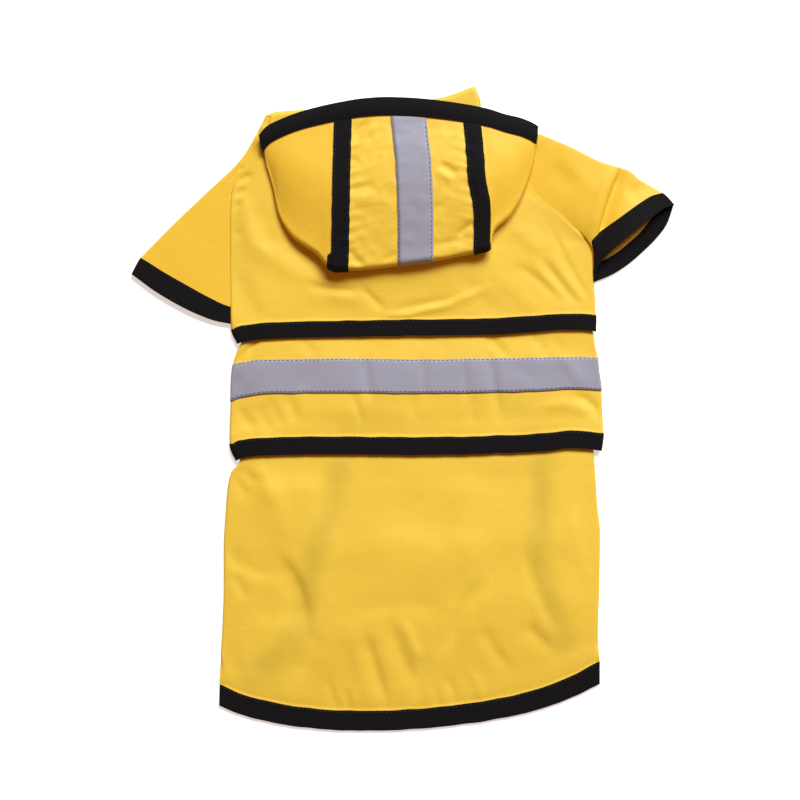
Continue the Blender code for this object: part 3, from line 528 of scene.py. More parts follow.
HOOD_CREASES = (
    (-34.4, 189, -24.2, 198.9, 0, 2.2, 3.5, -1.4),
    (-30, 186.6, -19.6, 196.4, 0, 3, 3, 0.9),
    (-36, 172.5, -30, 169.5, 0, 1.5, 1.5, -1),
    (-36, 150.5, -20.3, 155.1, 0, 3, 4, -1.1),
    (-33, 143.2, -18.9, 148.8, 0, 4, 4, 0.7),
    (-37, 109.5, -28, 98.4, 0, 2, 3, -1.5),
    (-14, 102.6, -4.9, 107.5, 0, 2, 2, -0.9),
    (25.2, 169.8, 37.1, 162.1, 0, 2.2, 3.5, -1.4),
    (23.8, 165.6, 34.3, 157.2, 0, 3, 3, 0.9),
    (38, 120.5, 50.5, 130.5, 0, 2.2, 3, -1.4),
    (23.1, 113.8, 46.9, 118, 0, 3, 3, -1.1),
    (18.9, 135.5, 29.4, 142.5, 0, 3, 3, -0.6),
)


# ---------------------------------------------------------------- curves

def column(columns, rows, name):
    """One named column of a table."""
    return np.array([row[columns.index(name)] for row in rows], dtype=float)


def smooth(where, xs, ys):
    """Curve through table points that doesn't overshoot them, flat beyond both ends."""
    xs = np.asarray(xs, dtype=float)
    ys = np.asarray(ys, dtype=float)
    steps = np.diff(ys) / np.diff(xs)
    product = steps[1:] * steps[:-1]
    total = steps[1:] + steps[:-1]
    inner = np.where(product > 0, 2 * product / np.where(total == 0, 1, total), 0.0)
    slopes = np.concatenate(([steps[0]], inner, [steps[-1]]))
    where = np.clip(np.asarray(where, dtype=float), xs[0], xs[-1])
    index = np.clip(np.searchsorted(xs, where) - 1, 0, len(xs) - 2)
    width = xs[index + 1] - xs[index]
    share = (where - xs[index]) / width
    rest = 1 - share
    return (ys[index] * rest ** 2 * (1 + 2 * share) + ys[index + 1] * share ** 2 * (1 + 2 * rest)
            + slopes[index] * width * share * rest ** 2
            - slopes[index + 1] * width * share ** 2 * rest)


def along(points, shares):
    """Points at shares of a smooth line's length, in an array that ends in x, y."""
    points = np.array(points, dtype=float)
    lengths = np.hypot(*np.diff(points, axis=0).T)
    reach = np.concatenate(([0.0], np.cumsum(lengths))) / lengths.sum()
    return np.stack([smooth(shares, reach, points[:, axis]) for axis in range(2)], axis=-1)


def ease(share):
    """Smooth step from 0 to 1."""
    share = np.clip(share, 0.0, 1.0)
    return share * share * (3 - 2 * share)


def hump(share):
    """Rise from 0 to 1 and back to 0, as the share goes from 0 to 1."""
    return 4 * share * (1 - share)


def panel_plan(top, bottom, left, right, across, down):
    """Points of the flat panel between four edges. Top and bottom run across."""
    across = np.asarray(across, dtype=float)[..., None]
    down = np.asarray(down, dtype=float)[..., None]
    ruled_down = (1 - down) * along(top, across[..., 0]) + down * along(bottom, across[..., 0])
    ruled_across = (1 - across) * along(left, down[..., 0]) + across * along(right, down[..., 0])
    corners = ((1 - across) * (1 - down) * np.array(top[0]) + across * (1 - down) * np.array(top[-1])
               + (1 - across) * down * np.array(bottom[0]) + across * down * np.array(bottom[-1]))
    return ruled_down + ruled_across - corners


def crease_height(creases, x, y):
    """Height that a table of creases adds at each point."""
    height = np.zeros(np.shape(x))
    for row in creases:
        crease = dict(zip(CREASE_COLUMNS, row))
        start = np.array((crease["x0"], crease["y0"]))
        run = np.array((crease["x1"], crease["y1"])) - start
        length = np.hypot(*run)
        share = ((x - start[0]) * run[0] + (y - start[1]) * run[1]) / length ** 2
        aside = ((x - start[0]) * run[1] - (y - start[1]) * run[0]) / length
        aside = aside - crease["bow"] * hump(share)
        spread = np.where(aside > 0, crease["far"], crease["near"])
        past = np.maximum(np.abs(share - 0.5) - CREASE_FULL, 0.0)
        taper = np.exp(-(past / CREASE_FADE) ** 2)
        height += crease["height"] * taper * np.exp(-(aside / spread) ** 2)
    return height


def unevenness(x, y, size, seed):
    """Soft random height between about -1 and 1, with hollows of this size."""
    heights = [noise.noise(Vector((a / size, b / size, seed)))
               for a, b in zip(np.ravel(x), np.ravel(y))]
    return np.reshape(heights, np.shape(x))


def limpness(x, y, seed):
    """Broad and fine hollows of cloth that lies loose."""
    return sum(depth * unevenness(x, y, size, seed + step) for size, depth, step in LIMP_HOLLOWS)


def crumples(x, y, seed):
    """Small sharp hollows of cloth that was folded before."""
    return -sum(depth * np.abs(unevenness(x, y, size, seed + step))
                for size, depth, step in CRUMPLE_HOLLOWS)


def steps_for(length):
    """Grid steps that cover a length."""
    return max(int(round(length / GRID_STEP)), 2)


# ---------------------------------------------------------------- pieces from grids

def grid_mesh(name, grid, closed=False, shown=None):
    """Piece on a grid of points in millimetres: rows run down and columns run across.

    Shown says how much the bindings below show through at each point. A closed grid is a tube.
    """
    grid = np.array(grid, dtype=float)
    if closed:
        grid = np.concatenate((grid, grid[:, :1]), axis=1)
    elif normals_of(grid)[:, :, 2].mean() < 0:
        grid = grid[:, ::-1]
        shown = None if shown is None else shown[:, ::-1]
    rows, columns = grid.shape[:2]
    cloth_uv = lengths_on(grid) * MM
    places = (grid - ORIGIN) * MM
    mesh = bmesh.new()
    uv_layer = mesh.loops.layers.uv.new(UV_NAME)
    ghost_layer = mesh.verts.layers.float.new(GHOST)
    bmesh.ops.create_grid(mesh, x_segments=columns - 1, y_segments=rows - 1, size=0.5)
    for vert in mesh.verts:
        col = round((vert.co.x + 0.5) * (columns - 1))
        row = round((0.5 - vert.co.y) * (rows - 1))
        vert.co = places[row, col]
        if shown is not None:
            vert[ghost_layer] = shown[row, col]
        for loop in vert.link_loops:
            loop[uv_layer].uv = cloth_uv[row, col]
    if closed:
        close_tube(mesh, Vector(places.reshape(-1, 3).mean(axis=0)))
    return finished(name, mesh)


def close_tube(mesh, middle):
    """Joins a tube's two long edges and turns its faces outwards."""
    edge = [vert for vert in mesh.verts if vert.is_boundary]
    bmesh.ops.remove_doubles(mesh, verts=edge, dist=WELD)
    outward = sum((face.calc_center_median() - middle).dot(face.normal) * face.calc_area()
                  for face in mesh.faces)
    if outward < 0:
        bmesh.ops.reverse_faces(mesh, faces=mesh.faces)


def finished(name, mesh):
    """Smooth scene object that holds a bmesh, at the origin."""
    for face in mesh.faces:
        face.smooth = True
    data = bpy.data.meshes.new(name)
    mesh.to_mesh(data)
    mesh.free()
    piece = bpy.data.objects.new(name, data)
    bpy.context.scene.collection.objects.link(piece)
    return piece


def normals_of(grid):
    """Unit normal at each point of a grid."""
    normals = np.cross(np.gradient(grid, axis=0), np.gradient(grid, axis=1))
    return normals / np.maximum(np.linalg.norm(normals, axis=2, keepdims=True), TINY)


def upward_normals(grid):
    """Unit normals on the side of a grid that faces up."""
    normals = normals_of(grid)
    return -normals if normals[:, :, 2].mean() < 0 else normals


def raised(grid, distance):
    """The grid moved up from its own surface."""
    return grid + upward_normals(grid) * distance


def lengths_on(grid):
    """Distance across and down the cloth at each point, from its middle row and column."""
    rows, columns = grid.shape[:2]
    across = np.zeros((rows, columns))
    across[:, 1:] = np.cumsum(np.linalg.norm(np.diff(grid, axis=1), axis=2), axis=1)
    across -= across[:, columns // 2:columns // 2 + 1]
    down = np.zeros((rows, columns))
    down[1:] = np.cumsum(np.linalg.norm(np.diff(grid, axis=0), axis=2), axis=0)
    down -= down[rows // 2:rows // 2 + 1]
    return np.stack((across, -down), axis=-1)


def thicken(piece, wall, rounding=0.0):
    """Gives a sheet its wall, and rounds the edges of a thick one."""
    solidify = piece.modifiers.new("wall", "SOLIDIFY")
    solidify.thickness = wall * MM
    solidify.offset = 0.0
    if rounding:
        bevel = piece.modifiers.new("rounded_edge", "BEVEL")
        bevel.width = rounding * MM
        bevel.segments = ROUNDING_STEPS
        bevel.limit_method = "ANGLE"
        bevel.angle_limit = math.radians(ROUNDED_ANGLE)


def dress(piece, look, slot, *nodes):
    """Gives a piece its material and joins it to the frame."""
    piece.data.materials.append(look)
    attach(piece, BODY)
    if nodes:
        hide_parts(*nodes)
    return piece


def sheet_size(grid, closed=False):
    """Flat width, length and area in metres of the cloth in a grid."""
    grid = np.array(grid, dtype=float)
    if closed:
        grid = np.concatenate((grid, grid[:, :1]), axis=1)
    across = np.linalg.norm(np.diff(grid, axis=1), axis=2)
    down = np.linalg.norm(np.diff(grid, axis=0), axis=2)
    width = across.sum(axis=1).max() * MM
    length = down.sum(axis=0).max() * MM
    cells = np.linalg.norm(np.cross(grid[1:, :-1] - grid[:-1, :-1],
                                    grid[:-1, 1:] - grid[:-1, :-1]), axis=2)
    area = min(cells.sum() * MM * MM, width * length)
    return (width, length), area


def opened_sleeve_size(grid):
    """Flat width, length and area in metres of a sleeve opened along its underarm."""
    grid = np.array(grid, dtype=float)
    area = sheet_size(grid, closed=True)[1]
    fold = grid[-1, 0, :2] - grid[0, 0, :2]
    fold /= np.hypot(*fold)
    reach = grid[:, :, :2] - grid[0, 0, :2]
    aside = np.abs(reach[..., 0] * fold[1] - reach[..., 1] * fold[0])
    along_fold = reach @ fold
    return (2 * aside.max() * MM, np.ptp(along_fold) * MM), area


def declare(piece, grid, rests_on, with_pieces, closed=False):
    """Works out the flat size and area of a piece's cloth, and keeps neither."""
    flat, area = opened_sleeve_size(grid) if closed else sheet_size(grid)


def stitches(name, path, normals, look, slot):
    """Row of lock stitches along a line of points on a surface."""
    path = (np.array(path, dtype=float) - ORIGIN) * MM
    spans = np.linalg.norm(np.diff(path, axis=0), axis=1)
    reach = np.concatenate(([0.0], np.cumsum(spans)))
    pitch = STITCH_PITCH * MM
    half = STITCH_LENGTH * MM / 2
    size = Matrix.Diagonal((half, STITCH_RADIUS * MM, STITCH_RADIUS * MM, 1))
    across = Matrix.Rotation(math.pi / 2, 4, "Y")
    mesh = bmesh.new()
    for middle in np.arange(pitch / 2, reach[-1] - pitch / 2, pitch):
        ends = [np.array([np.interp(middle + offset, reach, path[:, axis]) for axis in range(3)])
                for offset in (-half, half)]
        up = Vector([np.interp(middle, reach, normals[:, axis]) for axis in range(3)])
        run = Vector(ends[1] - ends[0]).normalized()
        side = up.cross(run).normalized()
        up = run.cross(side)
        turn = Matrix((run, side, up)).transposed().to_4x4()
        place = Matrix.Translation(Vector((ends[0] + ends[1]) / 2) + up * STITCH_LIFT * MM)
        bmesh.ops.create_uvsphere(mesh, u_segments=STITCH_SIDES, v_segments=STITCH_RINGS,
                                  radius=1.0, matrix=place @ turn @ size @ across)
    return dress(finished(name, mesh), look, slot)


def edge_stitches(name, grid, look, slot, wall):
    """Stitches on top of a wall, along its grid's first row."""
    normals = upward_normals(grid)[0]
    return stitches(name, grid[0] + normals * wall / 2, normals, look, slot)


# ---------------------------------------------------------------- back tiers

def side_fold(level, lift, turn):
    """Points round a side fold, as outward distance from its start and height."""
    radius = max((lift - SHELL) / 2, SIDE_RADIUS_LEAST)
    full = math.radians(turn)
    arc = radius * full
    returned = np.clip((turn - SIDE_RETURN_FROM) / (HALF_TURN - SIDE_RETURN_FROM), 0.0, 1.0)
    length = max(SIDE_LEAST, arc) + SIDE_RETURN * returned
    run = length * np.arange(1, FOLD_STEPS + 1) / FOLD_STEPS
    angle = np.minimum(run / radius, full)
    straight = np.maximum(run - arc, 0.0)
    out = radius * np.sin(angle) + straight * math.cos(full)
    down = radius * (1 - np.cos(angle)) + straight * math.sin(full)
    return out, np.maximum(level - down, SHELL / 2)


def looseness(tier, up):
    """How freely a tier creases at a distance above its lower edge, from 0 to 1."""
    free = (ease((up - tier["loose_from"]) / tier["loosening"])
            * ease((tier["loose_to"] - up) / tier["tightening"]))
    return tier["least_loose"] + (1 - tier["least_loose"]) * free


def tier_y(tier, up, x):
    """Y of points at a distance above a tier's lower edge, whose line they follow."""
    edge_x, edge_y = np.array(tier["edge"], dtype=float).T
    binding, height = tier["binding"], tier["rows"][-1][0]
    start = smooth(x, edge_x, edge_y)
    slope = (smooth(x + EDGE_SPAN / 2, edge_x, edge_y)
             - smooth(x - EDGE_SPAN / 2, edge_x, edge_y)) / EDGE_SPAN
    slant = np.hypot(1.0, slope)
    top = smooth(0.0, edge_x, edge_y) + height
    stretch = (top - start - binding * slant) / (height - binding)
    waver = EDGE_WAVER * unevenness(x / WAVER_LENGTH, np.full_like(x, up / WAVER_DEPTH), 1.0,
                                    tier["seed"])
    sag = tier["left_sag"] * ease((LEFT_SAG_FROM - x) / LEFT_SAG_WIDTH)
    sag = sag * ease((up - binding) / SAG_FADE) * ease((height - up) / SAG_FADE)
    return start + waver - sag + min(up, binding) * slant + max(up - binding, 0.0) * stretch


def tier_row(tier, up, steps, turn_limit):
    """Points across one tier, from the left side fold's end to the right one's."""
    ups = column(ROW_COLUMNS, tier["rows"], "up")
    value = {name: float(smooth(up, ups, column(ROW_COLUMNS, tier["rows"], name)))
             for name in ROW_COLUMNS[1:]}
    level = value["lift"] - SHELL / 2
    lifted = np.clip((value["lift"] - SHOULDER_LOW) / (SHOULDER_HIGH - SHOULDER_LOW), 0.0, 1.0)
    drops, folds = [], []
    for side in ("turn_left", "turn_right"):
        drop = SHOULDER_DROP * lifted * np.clip(value[side] / SHOULDER_TURN, 0.0, 1.0)
        drops.append(drop)
        folds.append(side_fold(level - drop, value["lift"] - drop, min(value[side], turn_limit)))
    left = value["left"] + SHELL / 2 + folds[0][0].max()
    right = value["right"] - SHELL / 2 - folds[1][0].max()
    x = np.linspace(left, right, steps + 1)
    y = tier_y(tier, up, x)
    slope = (drops[0] * (1 - ease((x - left) / SHOULDER))
             + drops[1] * (1 - ease((right - x) / SHOULDER)))
    middle = 1 - np.abs(2 * (x - left) / (right - left) - 1) ** SWELL_POWER
    past = up - tier["binding"]
    lip = LIP * math.exp(-(past / LIP_WIDTH) ** 2) if past > 0 else 0.0
    loose = ease(np.minimum(x - left, right - x) / SIDE_TIGHT) * looseness(tier, up)
    z = (level - slope + lip + value["swell"] * middle
         + loose * (crease_height(tier["creases"], x, y) + limpness(x, y, tier["seed"])))
    left_x = left - folds[0][0][::-1]
    right_x = right + folds[1][0]
    return np.concatenate((
        np.stack((left_x, tier_y(tier, up, left_x), folds[0][1][::-1]), axis=-1),
        np.stack((x, y, np.maximum(z, SHELL)), axis=-1),
        np.stack((right_x, tier_y(tier, up, right_x), folds[1][1]), axis=-1)))


def tier_grid(tier, ups, turn_limit=HALF_TURN):
    """Grid over a tier at these distances above its lower edge, the topmost first."""
    return np.array([tier_row(tier, up, steps_for(TIER_WIDTH), turn_limit) for up in ups])


def tier_stitches(name, tier, up, look, slot, wall, turn_limit=HALF_TURN):
    """Stitches across a tier, at a distance above its lower edge."""
    line = tier_grid(tier, (up, up - 1.0), turn_limit)
    return edge_stitches(name, line, look, slot, wall)


def belly_edge(front_values, steps):
    """Edge of a front's belly cut-away, and the way out of the cloth at each of its points."""
    inner = along(front_values["inner"], np.linspace(BELLY_BINDING_FROM, 1.0, steps))
    run = np.gradient(inner, axis=0)
    run /= np.linalg.norm(run, axis=1, keepdims=True)
    return inner, np.stack((-run[:, 1], run[:, 0]), axis=-1) * front_values["cut_away"]


def shown_through(x, y):
    """How much the dark bindings below show through the cloth, from 0 to 1."""
    shown = np.zeros(x.shape)
    for row in FRONTS:
        inner, outward = belly_edge(dict(zip(FRONT_COLUMNS, row)), GHOST_STEPS)
        line = inner + outward * BELLY_BINDING_WIDTH / 2
        nearest = np.hypot(x[..., None] - line[:, 0], y[..., None] - line[:, 1]).min(axis=-1)
        inside = (nearest - BELLY_BINDING_WIDTH / 2 + GHOST_INSET) / GHOST_FADE
        shown = np.maximum(shown, 1 - ease(inside))
    patchy = GHOST_LEVEL + GHOST_PATCHES * unevenness(x, y, GHOST_PATCH, GHOST_SEED)
    lower = ease((GHOST_TOP - y) / GHOST_TOP_FADE)
    return shown * patchy * (GHOST_TOP_SHARE + (1 - GHOST_TOP_SHARE) * lower)


def back_tier(name, looks):
    """One tier of the back, with its binding and any tape."""
    tier = dict(zip(TIER_COLUMNS, TIERS[name]))
    binding, height, trim = tier["binding"], tier["rows"][-1][0], tier["trim"]
    rows = steps_for(height - binding - 2 * LIP_WIDTH)
    grid = tier_grid(tier, np.concatenate((
        np.linspace(height, binding + 2 * LIP_WIDTH, rows + 1),
        binding + LIP_WIDTH * np.array(LIP_ROWS), (binding - TUCK,))))
    panel = grid_mesh(f"back_{name}_cloth", grid, shown=shown_through(grid[..., 0], grid[..., 1]))
    thicken(panel, SHELL)
    dress(panel, looks["cloth"], "shell_fabric", f"back_{name}")
    bound = grid_mesh(f"{trim}_tape", tier_grid(tier, np.linspace(binding, 0.0, BINDING_ROWS)))
    thicken(bound, BINDING, BINDING_ROUNDING)
    dress(bound, looks["binding"], "binding_fabric", trim)
    sewing = tier_stitches(f"{trim}_stitches", tier, binding - STITCH_INSET,
                           looks["black_thread"], "binding_fabric", BINDING)
    reflective = middle_strip(tier, looks) if name == "middle" else []
    declare(panel, grid, tier["rests_on"], [bound, sewing, *reflective])


def middle_strip(tier, looks):
    """Reflective tape across the middle tier and over its side folds."""
    ups = np.linspace(MIDDLE_STRIP_TO, MIDDLE_STRIP_FROM, STRIP_ROWS)
    grid = raised(tier_grid(tier, ups, STRIP_TURN), SHELL / 2 + TAPE / 2)
    strip = grid_mesh("middle_strip_tape", grid)
    thicken(strip, TAPE)
    dress(strip, looks["tape"], "reflective_tape", "middle_reflective_strip")
    pieces = [strip]
    for edge, up in (("upper", MIDDLE_STRIP_TO - STITCH_INSET),
                     ("lower", MIDDLE_STRIP_FROM + STITCH_INSET)):
        pieces.append(tier_stitches(f"middle_strip_{edge}_stitches", tier,
                                    up + STRIP_STITCH_SHIFT, looks["grey_thread"],
                                    "reflective_tape", SHELL + 2 * TAPE, STRIP_TURN))
    return pieces


# ---------------------------------------------------------------- fronts

def front(values, looks):
    """One front, face down, and the binding of its belly cut-away."""
    across, down = np.meshgrid(np.linspace(0, 1, FRONT_LINES),
                               np.linspace(0, 1, FRONT_ROWS))
    plan = panel_plan(values["neck"], values["hem"], values["outer"], values["inner"],
                      across, down)
    over = np.clip((OVERLAP_TO - plan[..., 0]) / (OVERLAP_TO - OVERLAP_FROM), 0.0, 1.0)
    over *= np.clip((plan[..., 1] - OVERLAP_END) / (OVERLAP_TO - OVERLAP_FROM), 0.0, 1.0)
    height = LAYER / 2 + values["overlap_lift"] * over
    grid = np.concatenate((plan, height[..., None]), axis=-1)
    panel = grid_mesh(f"front_{values['side']}_cloth", grid)
    thicken(panel, SHELL)
    dress(panel, looks["cloth"], "shell_fabric", f"front_{values['side']}")
    inner, outward = belly_edge(values, BELLY_STEPS)
    level = np.full(len(inner), BELLY_BINDING / 2 + BELLY_BINDING_CLEAR)
    widths = np.linspace(-BELLY_OVERLAP, BELLY_BINDING_WIDTH, BELLY_ROWS)
    bound = np.array([np.column_stack((inner + outward * width, level)) for width in widths])
    binding = grid_mesh(f"belly_binding_{values['side']}_tape", bound)
    thicken(binding, BELLY_BINDING, BELLY_ROUNDING)
    dress(binding, looks["binding"], "binding_fabric", f"belly_binding_{values['side']}")
    declare(panel, grid, ["floor"], [binding])


# ---------------------------------------------------------------- sleeves

def cuff_shares(values, turns):
    """Share of a sleeve's length that its cuff tape takes, at each turn of the ring."""
    across = (1 - np.cos(turns)) / 2
    upper = np.sin(turns) >= 0
    width = values["tape_outer"] + (values["tape_inner"] - values["tape_outer"]) * across
    width = width + np.where(upper, values["tape_bulge"] * np.sin(math.pi * across), 0.0)
    seam = along(values["raglan"], across)
    edge = np.where(upper[:, None], along(values["cuff_upper"], across),
                    along(values["cuff_lower"], across))
    return np.minimum(width / np.linalg.norm(seam - edge, axis=1), CUFF_SHARE_MOST)


def sleeve_point(values, angle, down):
    """Point on a ring round a sleeve. Angle 0 is the top fold and pi the underarm."""
    across = (1 - np.cos(angle)) / 2
    upper = np.sin(angle) >= 0
    plans = [panel_plan(values["raglan"], values[cuff], values["top_fold"], values["underarm"],
                        across, down) for cuff in ("cuff_upper", "cuff_lower")]
    plan = np.where(upper[..., None], *plans)
    x, y = plan[..., 0], plan[..., 1]
    height = values["raglan_height"] + (values["cuff_height"] - values["raglan_height"]) * down
    height = height + values["mouth_bulge"] * down ** 2 * np.sin(math.pi * across)
    loose = crease_height(SLEEVE_CREASES, x, y) + SLEEVE_LIMPNESS * limpness(x, y, SLEEVE_SEED)
    smooth_cuff = ease((down - CUFF_SMOOTH_FROM) / CUFF_SMOOTH_OVER)
    height = height + np.where(upper, loose * (1 - smooth_cuff), 0.0)
    height = np.maximum(height, SLEEVE_LOW + LAYER)
    side = np.sign(np.sin(angle)) * np.abs(np.sin(angle)) ** FLATNESS
    z = SLEEVE_LOW + (height - SLEEVE_LOW) * (1 + side) / 2
    return np.stack((x, y, z), axis=-1)


def tucked(grid, turns, raglan):
    """Rings of a sleeve's seam allowance: its upper layer goes on under the body."""
    shares = np.linspace(0.0, 1.0, SEAM_STEPS)
    seam = np.gradient(along(raglan, shares), axis=0)
    way = np.stack((seam[:, 1], -seam[:, 0]), axis=-1)
    way /= np.linalg.norm(way, axis=1, keepdims=True)
    quarter = len(turns) // 4
    way *= np.sign(np.sum(way * (grid[0, quarter, :2] - grid[-1, quarter, :2])))
    across = (1 - np.cos(turns)) / 2
    reach = SEAM_TUCK * (1 - ease((across - SEAM_TUCK_TO) / (1 - SEAM_TUCK_TO)))
    shift = np.stack([np.interp(across, shares, way[:, axis]) * reach for axis in range(2)]
                     + [np.full(len(turns), -SEAM_DROP)], axis=-1)
    upper = np.clip(1 + SEAM_UPPER * np.sin(turns), 0.0, 1.0)[:, None]
    return np.array([grid[0] + shift * upper * share for share in (1.0, 0.5)])


def sleeve_grid(values, turns, down):
    """Grid of rings round a sleeve, one for each row of shares down it."""
    return sleeve_point(values, np.tile(turns, (len(down), 1)), down)


def sleeve(values, looks):
    """One raglan sleeve, a flattened tube, and the binding of its cuff."""
    turns = np.linspace(0.0, 2 * math.pi, SLEEVE_TURNS, endpoint=False)
    bound = cuff_shares(values, turns)
    rows = np.linspace(0.0, 1.0, SLEEVE_ROWS)[:, None]
    grid = sleeve_grid(values, turns, rows * (1 - bound * CUFF_FREE))
    grid = np.concatenate((tucked(grid, turns, values["raglan"]), grid))
    panel = grid_mesh(f"sleeve_{values['side']}_cloth", grid, closed=True)
    thicken(panel, SHELL)
    # painted shade: the sleeve takes the deeper copy of the cloth colour
    dress(panel, looks["painted_shade_cloth"], "shell_fabric", f"sleeve_{values['side']}")
    rows = np.linspace(0.0, 1.0, CUFF_ROWS)[:, None]
    ring = sleeve_grid(values, turns, 1 - bound * (1 - rows))
    binding = grid_mesh(f"cuff_binding_{values['side']}_tape", ring, closed=True)
    thicken(binding, CUFF_BINDING, CUFF_ROUNDING)
    dress(binding, looks["binding"], "binding_fabric", f"cuff_binding_{values['side']}")
    declare(panel, grid, ["floor"], [binding], closed=True)


# ---------------------------------------------------------------- hood

def rib_values(rib, names=HOOD_COLUMNS):
    """Values of the hood's table at rib numbers, whole or between."""
    numbers = np.arange(len(HOOD_RIBS))
    return {name: smooth(rib, numbers, column(HOOD_COLUMNS, HOOD_RIBS, name)) for name in names}


def hood_points(rib, phase, creased=True):
    """Points of the hood's middle surface. Phase 0 is the face edge, 1 the turn, 2 its end."""
    rib = np.asarray(rib, dtype=float)
    phase = np.asarray(phase, dtype=float)
    value = rib_values(rib)
    run_x = value["end_x"] - value["rim_x"]
    run_y = value["end_y"] - value["rim_y"]
    length = np.hypot(run_x, run_y)
    level = length - HOOD_TURN_REACH
    flat = np.minimum(phase, 1.0)
    angle = math.radians(HOOD_TURN_ANGLE) * np.maximum(phase - 1, 0.0)
    reach = level * flat + HOOD_TURN_REACH * np.sin(angle)
    x = value["rim_x"] + run_x / length * reach + value["bow"] * hump(flat)
    y = value["rim_y"] + run_y / length * reach
    z = value["rim_z"] + (value["end_z"] - value["rim_z"]) * ease(flat)
    z = z + value["crown"] * hump(flat) ** 2
    z = z - value["turn"] * (1 - np.cos(angle))
    if creased:
        loose = (ease((level * flat - HOOD_BINDING_WIDTH) / HOOD_LOOSENING)
                 * (1 - ease((phase - 1) / HOOD_TURN_LOOSE)))
        centre = ease((rib - HOOD_LEFT_SEAM) / SEAM_FADE) * ease((HOOD_RIGHT_SEAM - rib) / SEAM_FADE)
        z = z + loose * (HOOD_LIMPNESS * limpness(x, y, HOOD_SEED)
                         + crease_height(HOOD_CREASES, x, y) + hood_puckers(rib, level * flat)
                         + centre * crumples(x, y, CRUMPLE_SEED))
    return np.stack((x, y, z), axis=-1)


def hood_level(rib):
    """Distance along a rib from the face edge to where its turn starts."""
    value = rib_values(rib, ("rim_x", "rim_y", "end_x", "end_y"))
    return np.hypot(value["end_x"] - value["rim_x"],
                    value["end_y"] - value["rim_y"]) - HOOD_TURN_REACH


def hood_puckers(rib, run):
    """Short uneven gathers of the centre panel beside its seams."""
    height = np.zeros(np.shape(rib))
    for seam, side, seed in PUCKERED_SEAMS:
        away = (rib - seam) * side
        near = (np.exp(-(np.maximum(away, 0.0) / PUCKER_REACH) ** 2)
                * ease((away - PUCKER_CLEAR) / PUCKER_RISE))
        height = height + PUCKER_HEIGHT * near * uneven_wave(run + away * PUCKER_SLANT, seed)
    return height


def uneven_wave(run, seed):
    """Ridges with uneven spacing and strength along a seam, between about -1 and 1."""
    chance = random.Random(seed)
    height = np.zeros(np.shape(run))
    place = PUCKER_PITCH
    while place < PUCKERS_TO:
        width = PUCKER_PITCH * chance.uniform(*PUCKER_WIDTHS)
        strength = chance.uniform(*PUCKER_STRENGTHS)
        height = height + strength * np.exp(-((run - place) / width) ** 2)
        place += PUCKER_PITCH * chance.uniform(*PUCKER_SPACINGS)
    return height - PUCKER_SUNK


def hood_grid(ribs, start):
    """Grid over the hood between ribs, from a distance behind the face edge."""
    begin = start / hood_level(ribs)
    share = np.linspace(0.0, 1.0, HOOD_ROWS)[:, None]
    runs = begin[None, :] + (1 - begin)[None, :] * share
    turns = 1 + np.arange(1, HOOD_TURN_ROWS + 1) / HOOD_TURN_ROWS
    phases = np.concatenate((runs, np.tile(turns[:, None], (1, len(ribs)))))
    return hood_points(np.tile(ribs, (len(phases), 1)), phases)


def ribs_beside(centre, phase, distances):
    """Rib numbers at distances to both sides of a rib, along the hood."""
    ribs = centre + np.linspace(-RIBS_ASIDE, RIBS_ASIDE, 2 * RIB_STEPS_ASIDE + 1)
    points = hood_points(ribs, np.full(len(ribs), phase), creased=False)
    spans = np.linalg.norm(np.diff(points, axis=0), axis=1)
    reach = np.concatenate(([0.0], np.cumsum(spans)))
    return np.interp(distances, reach - reach[RIB_STEPS_ASIDE], ribs)


def hood_tape_grid(tape, phases):
    """Grid of a tape's middle surface on the hood, at phases from its start to its end."""
    width = tape["width"]
    centres = smooth(phases, TAPE_PHASES, [tape[key] for key in TAPE_CENTRES])
    across = np.linspace(-0.5, 0.5, TAPE_STEPS + 1) * width
    grid = []
    for phase, centre in zip(phases, centres):
        spread = tape["flare"] * ease((phase - FLARE_FROM) / FLARE_OVER)
        offsets = across - spread * (across < -width / 3)
        waver = TAPE_WAVER * noise.noise(Vector((phase * TAPE_WAVERS, centre, TAPE_SEED)))
        ribs = ribs_beside(centre, phase, offsets + waver)
        grid.append(hood_points(ribs, np.full(len(ribs), phase)))
    lift = (SHELL + tape["wall"]) / 2 * ease((phases - phases[0]) * hood_level(tape["middle"])
                                             / TAPE_RISE)
    return raised(np.array(grid), lift[:, None, None])


def hood_tape(tape, looks):
    """Tape on the hood's panels along a rib, with stitches near both of its edges."""
    start = (HOOD_BINDING_WIDTH - TUCK) / hood_level(tape["middle"])
    turns = 1 + HOOD_TAPE_TURN * np.arange(1, TAPE_STEPS + 1) / TAPE_STEPS
    grid = hood_tape_grid(tape, np.concatenate((np.linspace(start, 1.0, HOOD_ROWS), turns)))
    piece = grid_mesh(f"{tape['name']}_tape", grid)
    thicken(piece, tape["wall"], tape["rounding"])
    dress(piece, looks[tape["look"]], tape["slot"], tape["node"])
    pieces = [piece]
    lines = grid.transpose(1, 0, 2)
    normals = raised(grid, 1.0).transpose(1, 0, 2) - lines
    share = STITCH_INSET / (tape["width"] / TAPE_STEPS)
    for side, edge, inner in (("left", 0, 1), ("right", -1, -2)):
        path = (lines[edge] + (lines[inner] - lines[edge]) * share
                + normals[edge] * tape["wall"] / 2)
        pieces.append(stitches(f"{tape['name']}_{side}_stitches", path[TAPE_UNSTITCHED:],
                               normals[edge][TAPE_UNSTITCHED:], looks[tape["thread"]],
                               tape["slot"]))
    return pieces


def face_rows(runs):
    """Rows of the smooth hood surface at distances behind the face edge."""
    ribs = rib_range(0, HOOD_END)
    return np.array([hood_points(ribs, run / hood_level(ribs), creased=False) for run in runs])


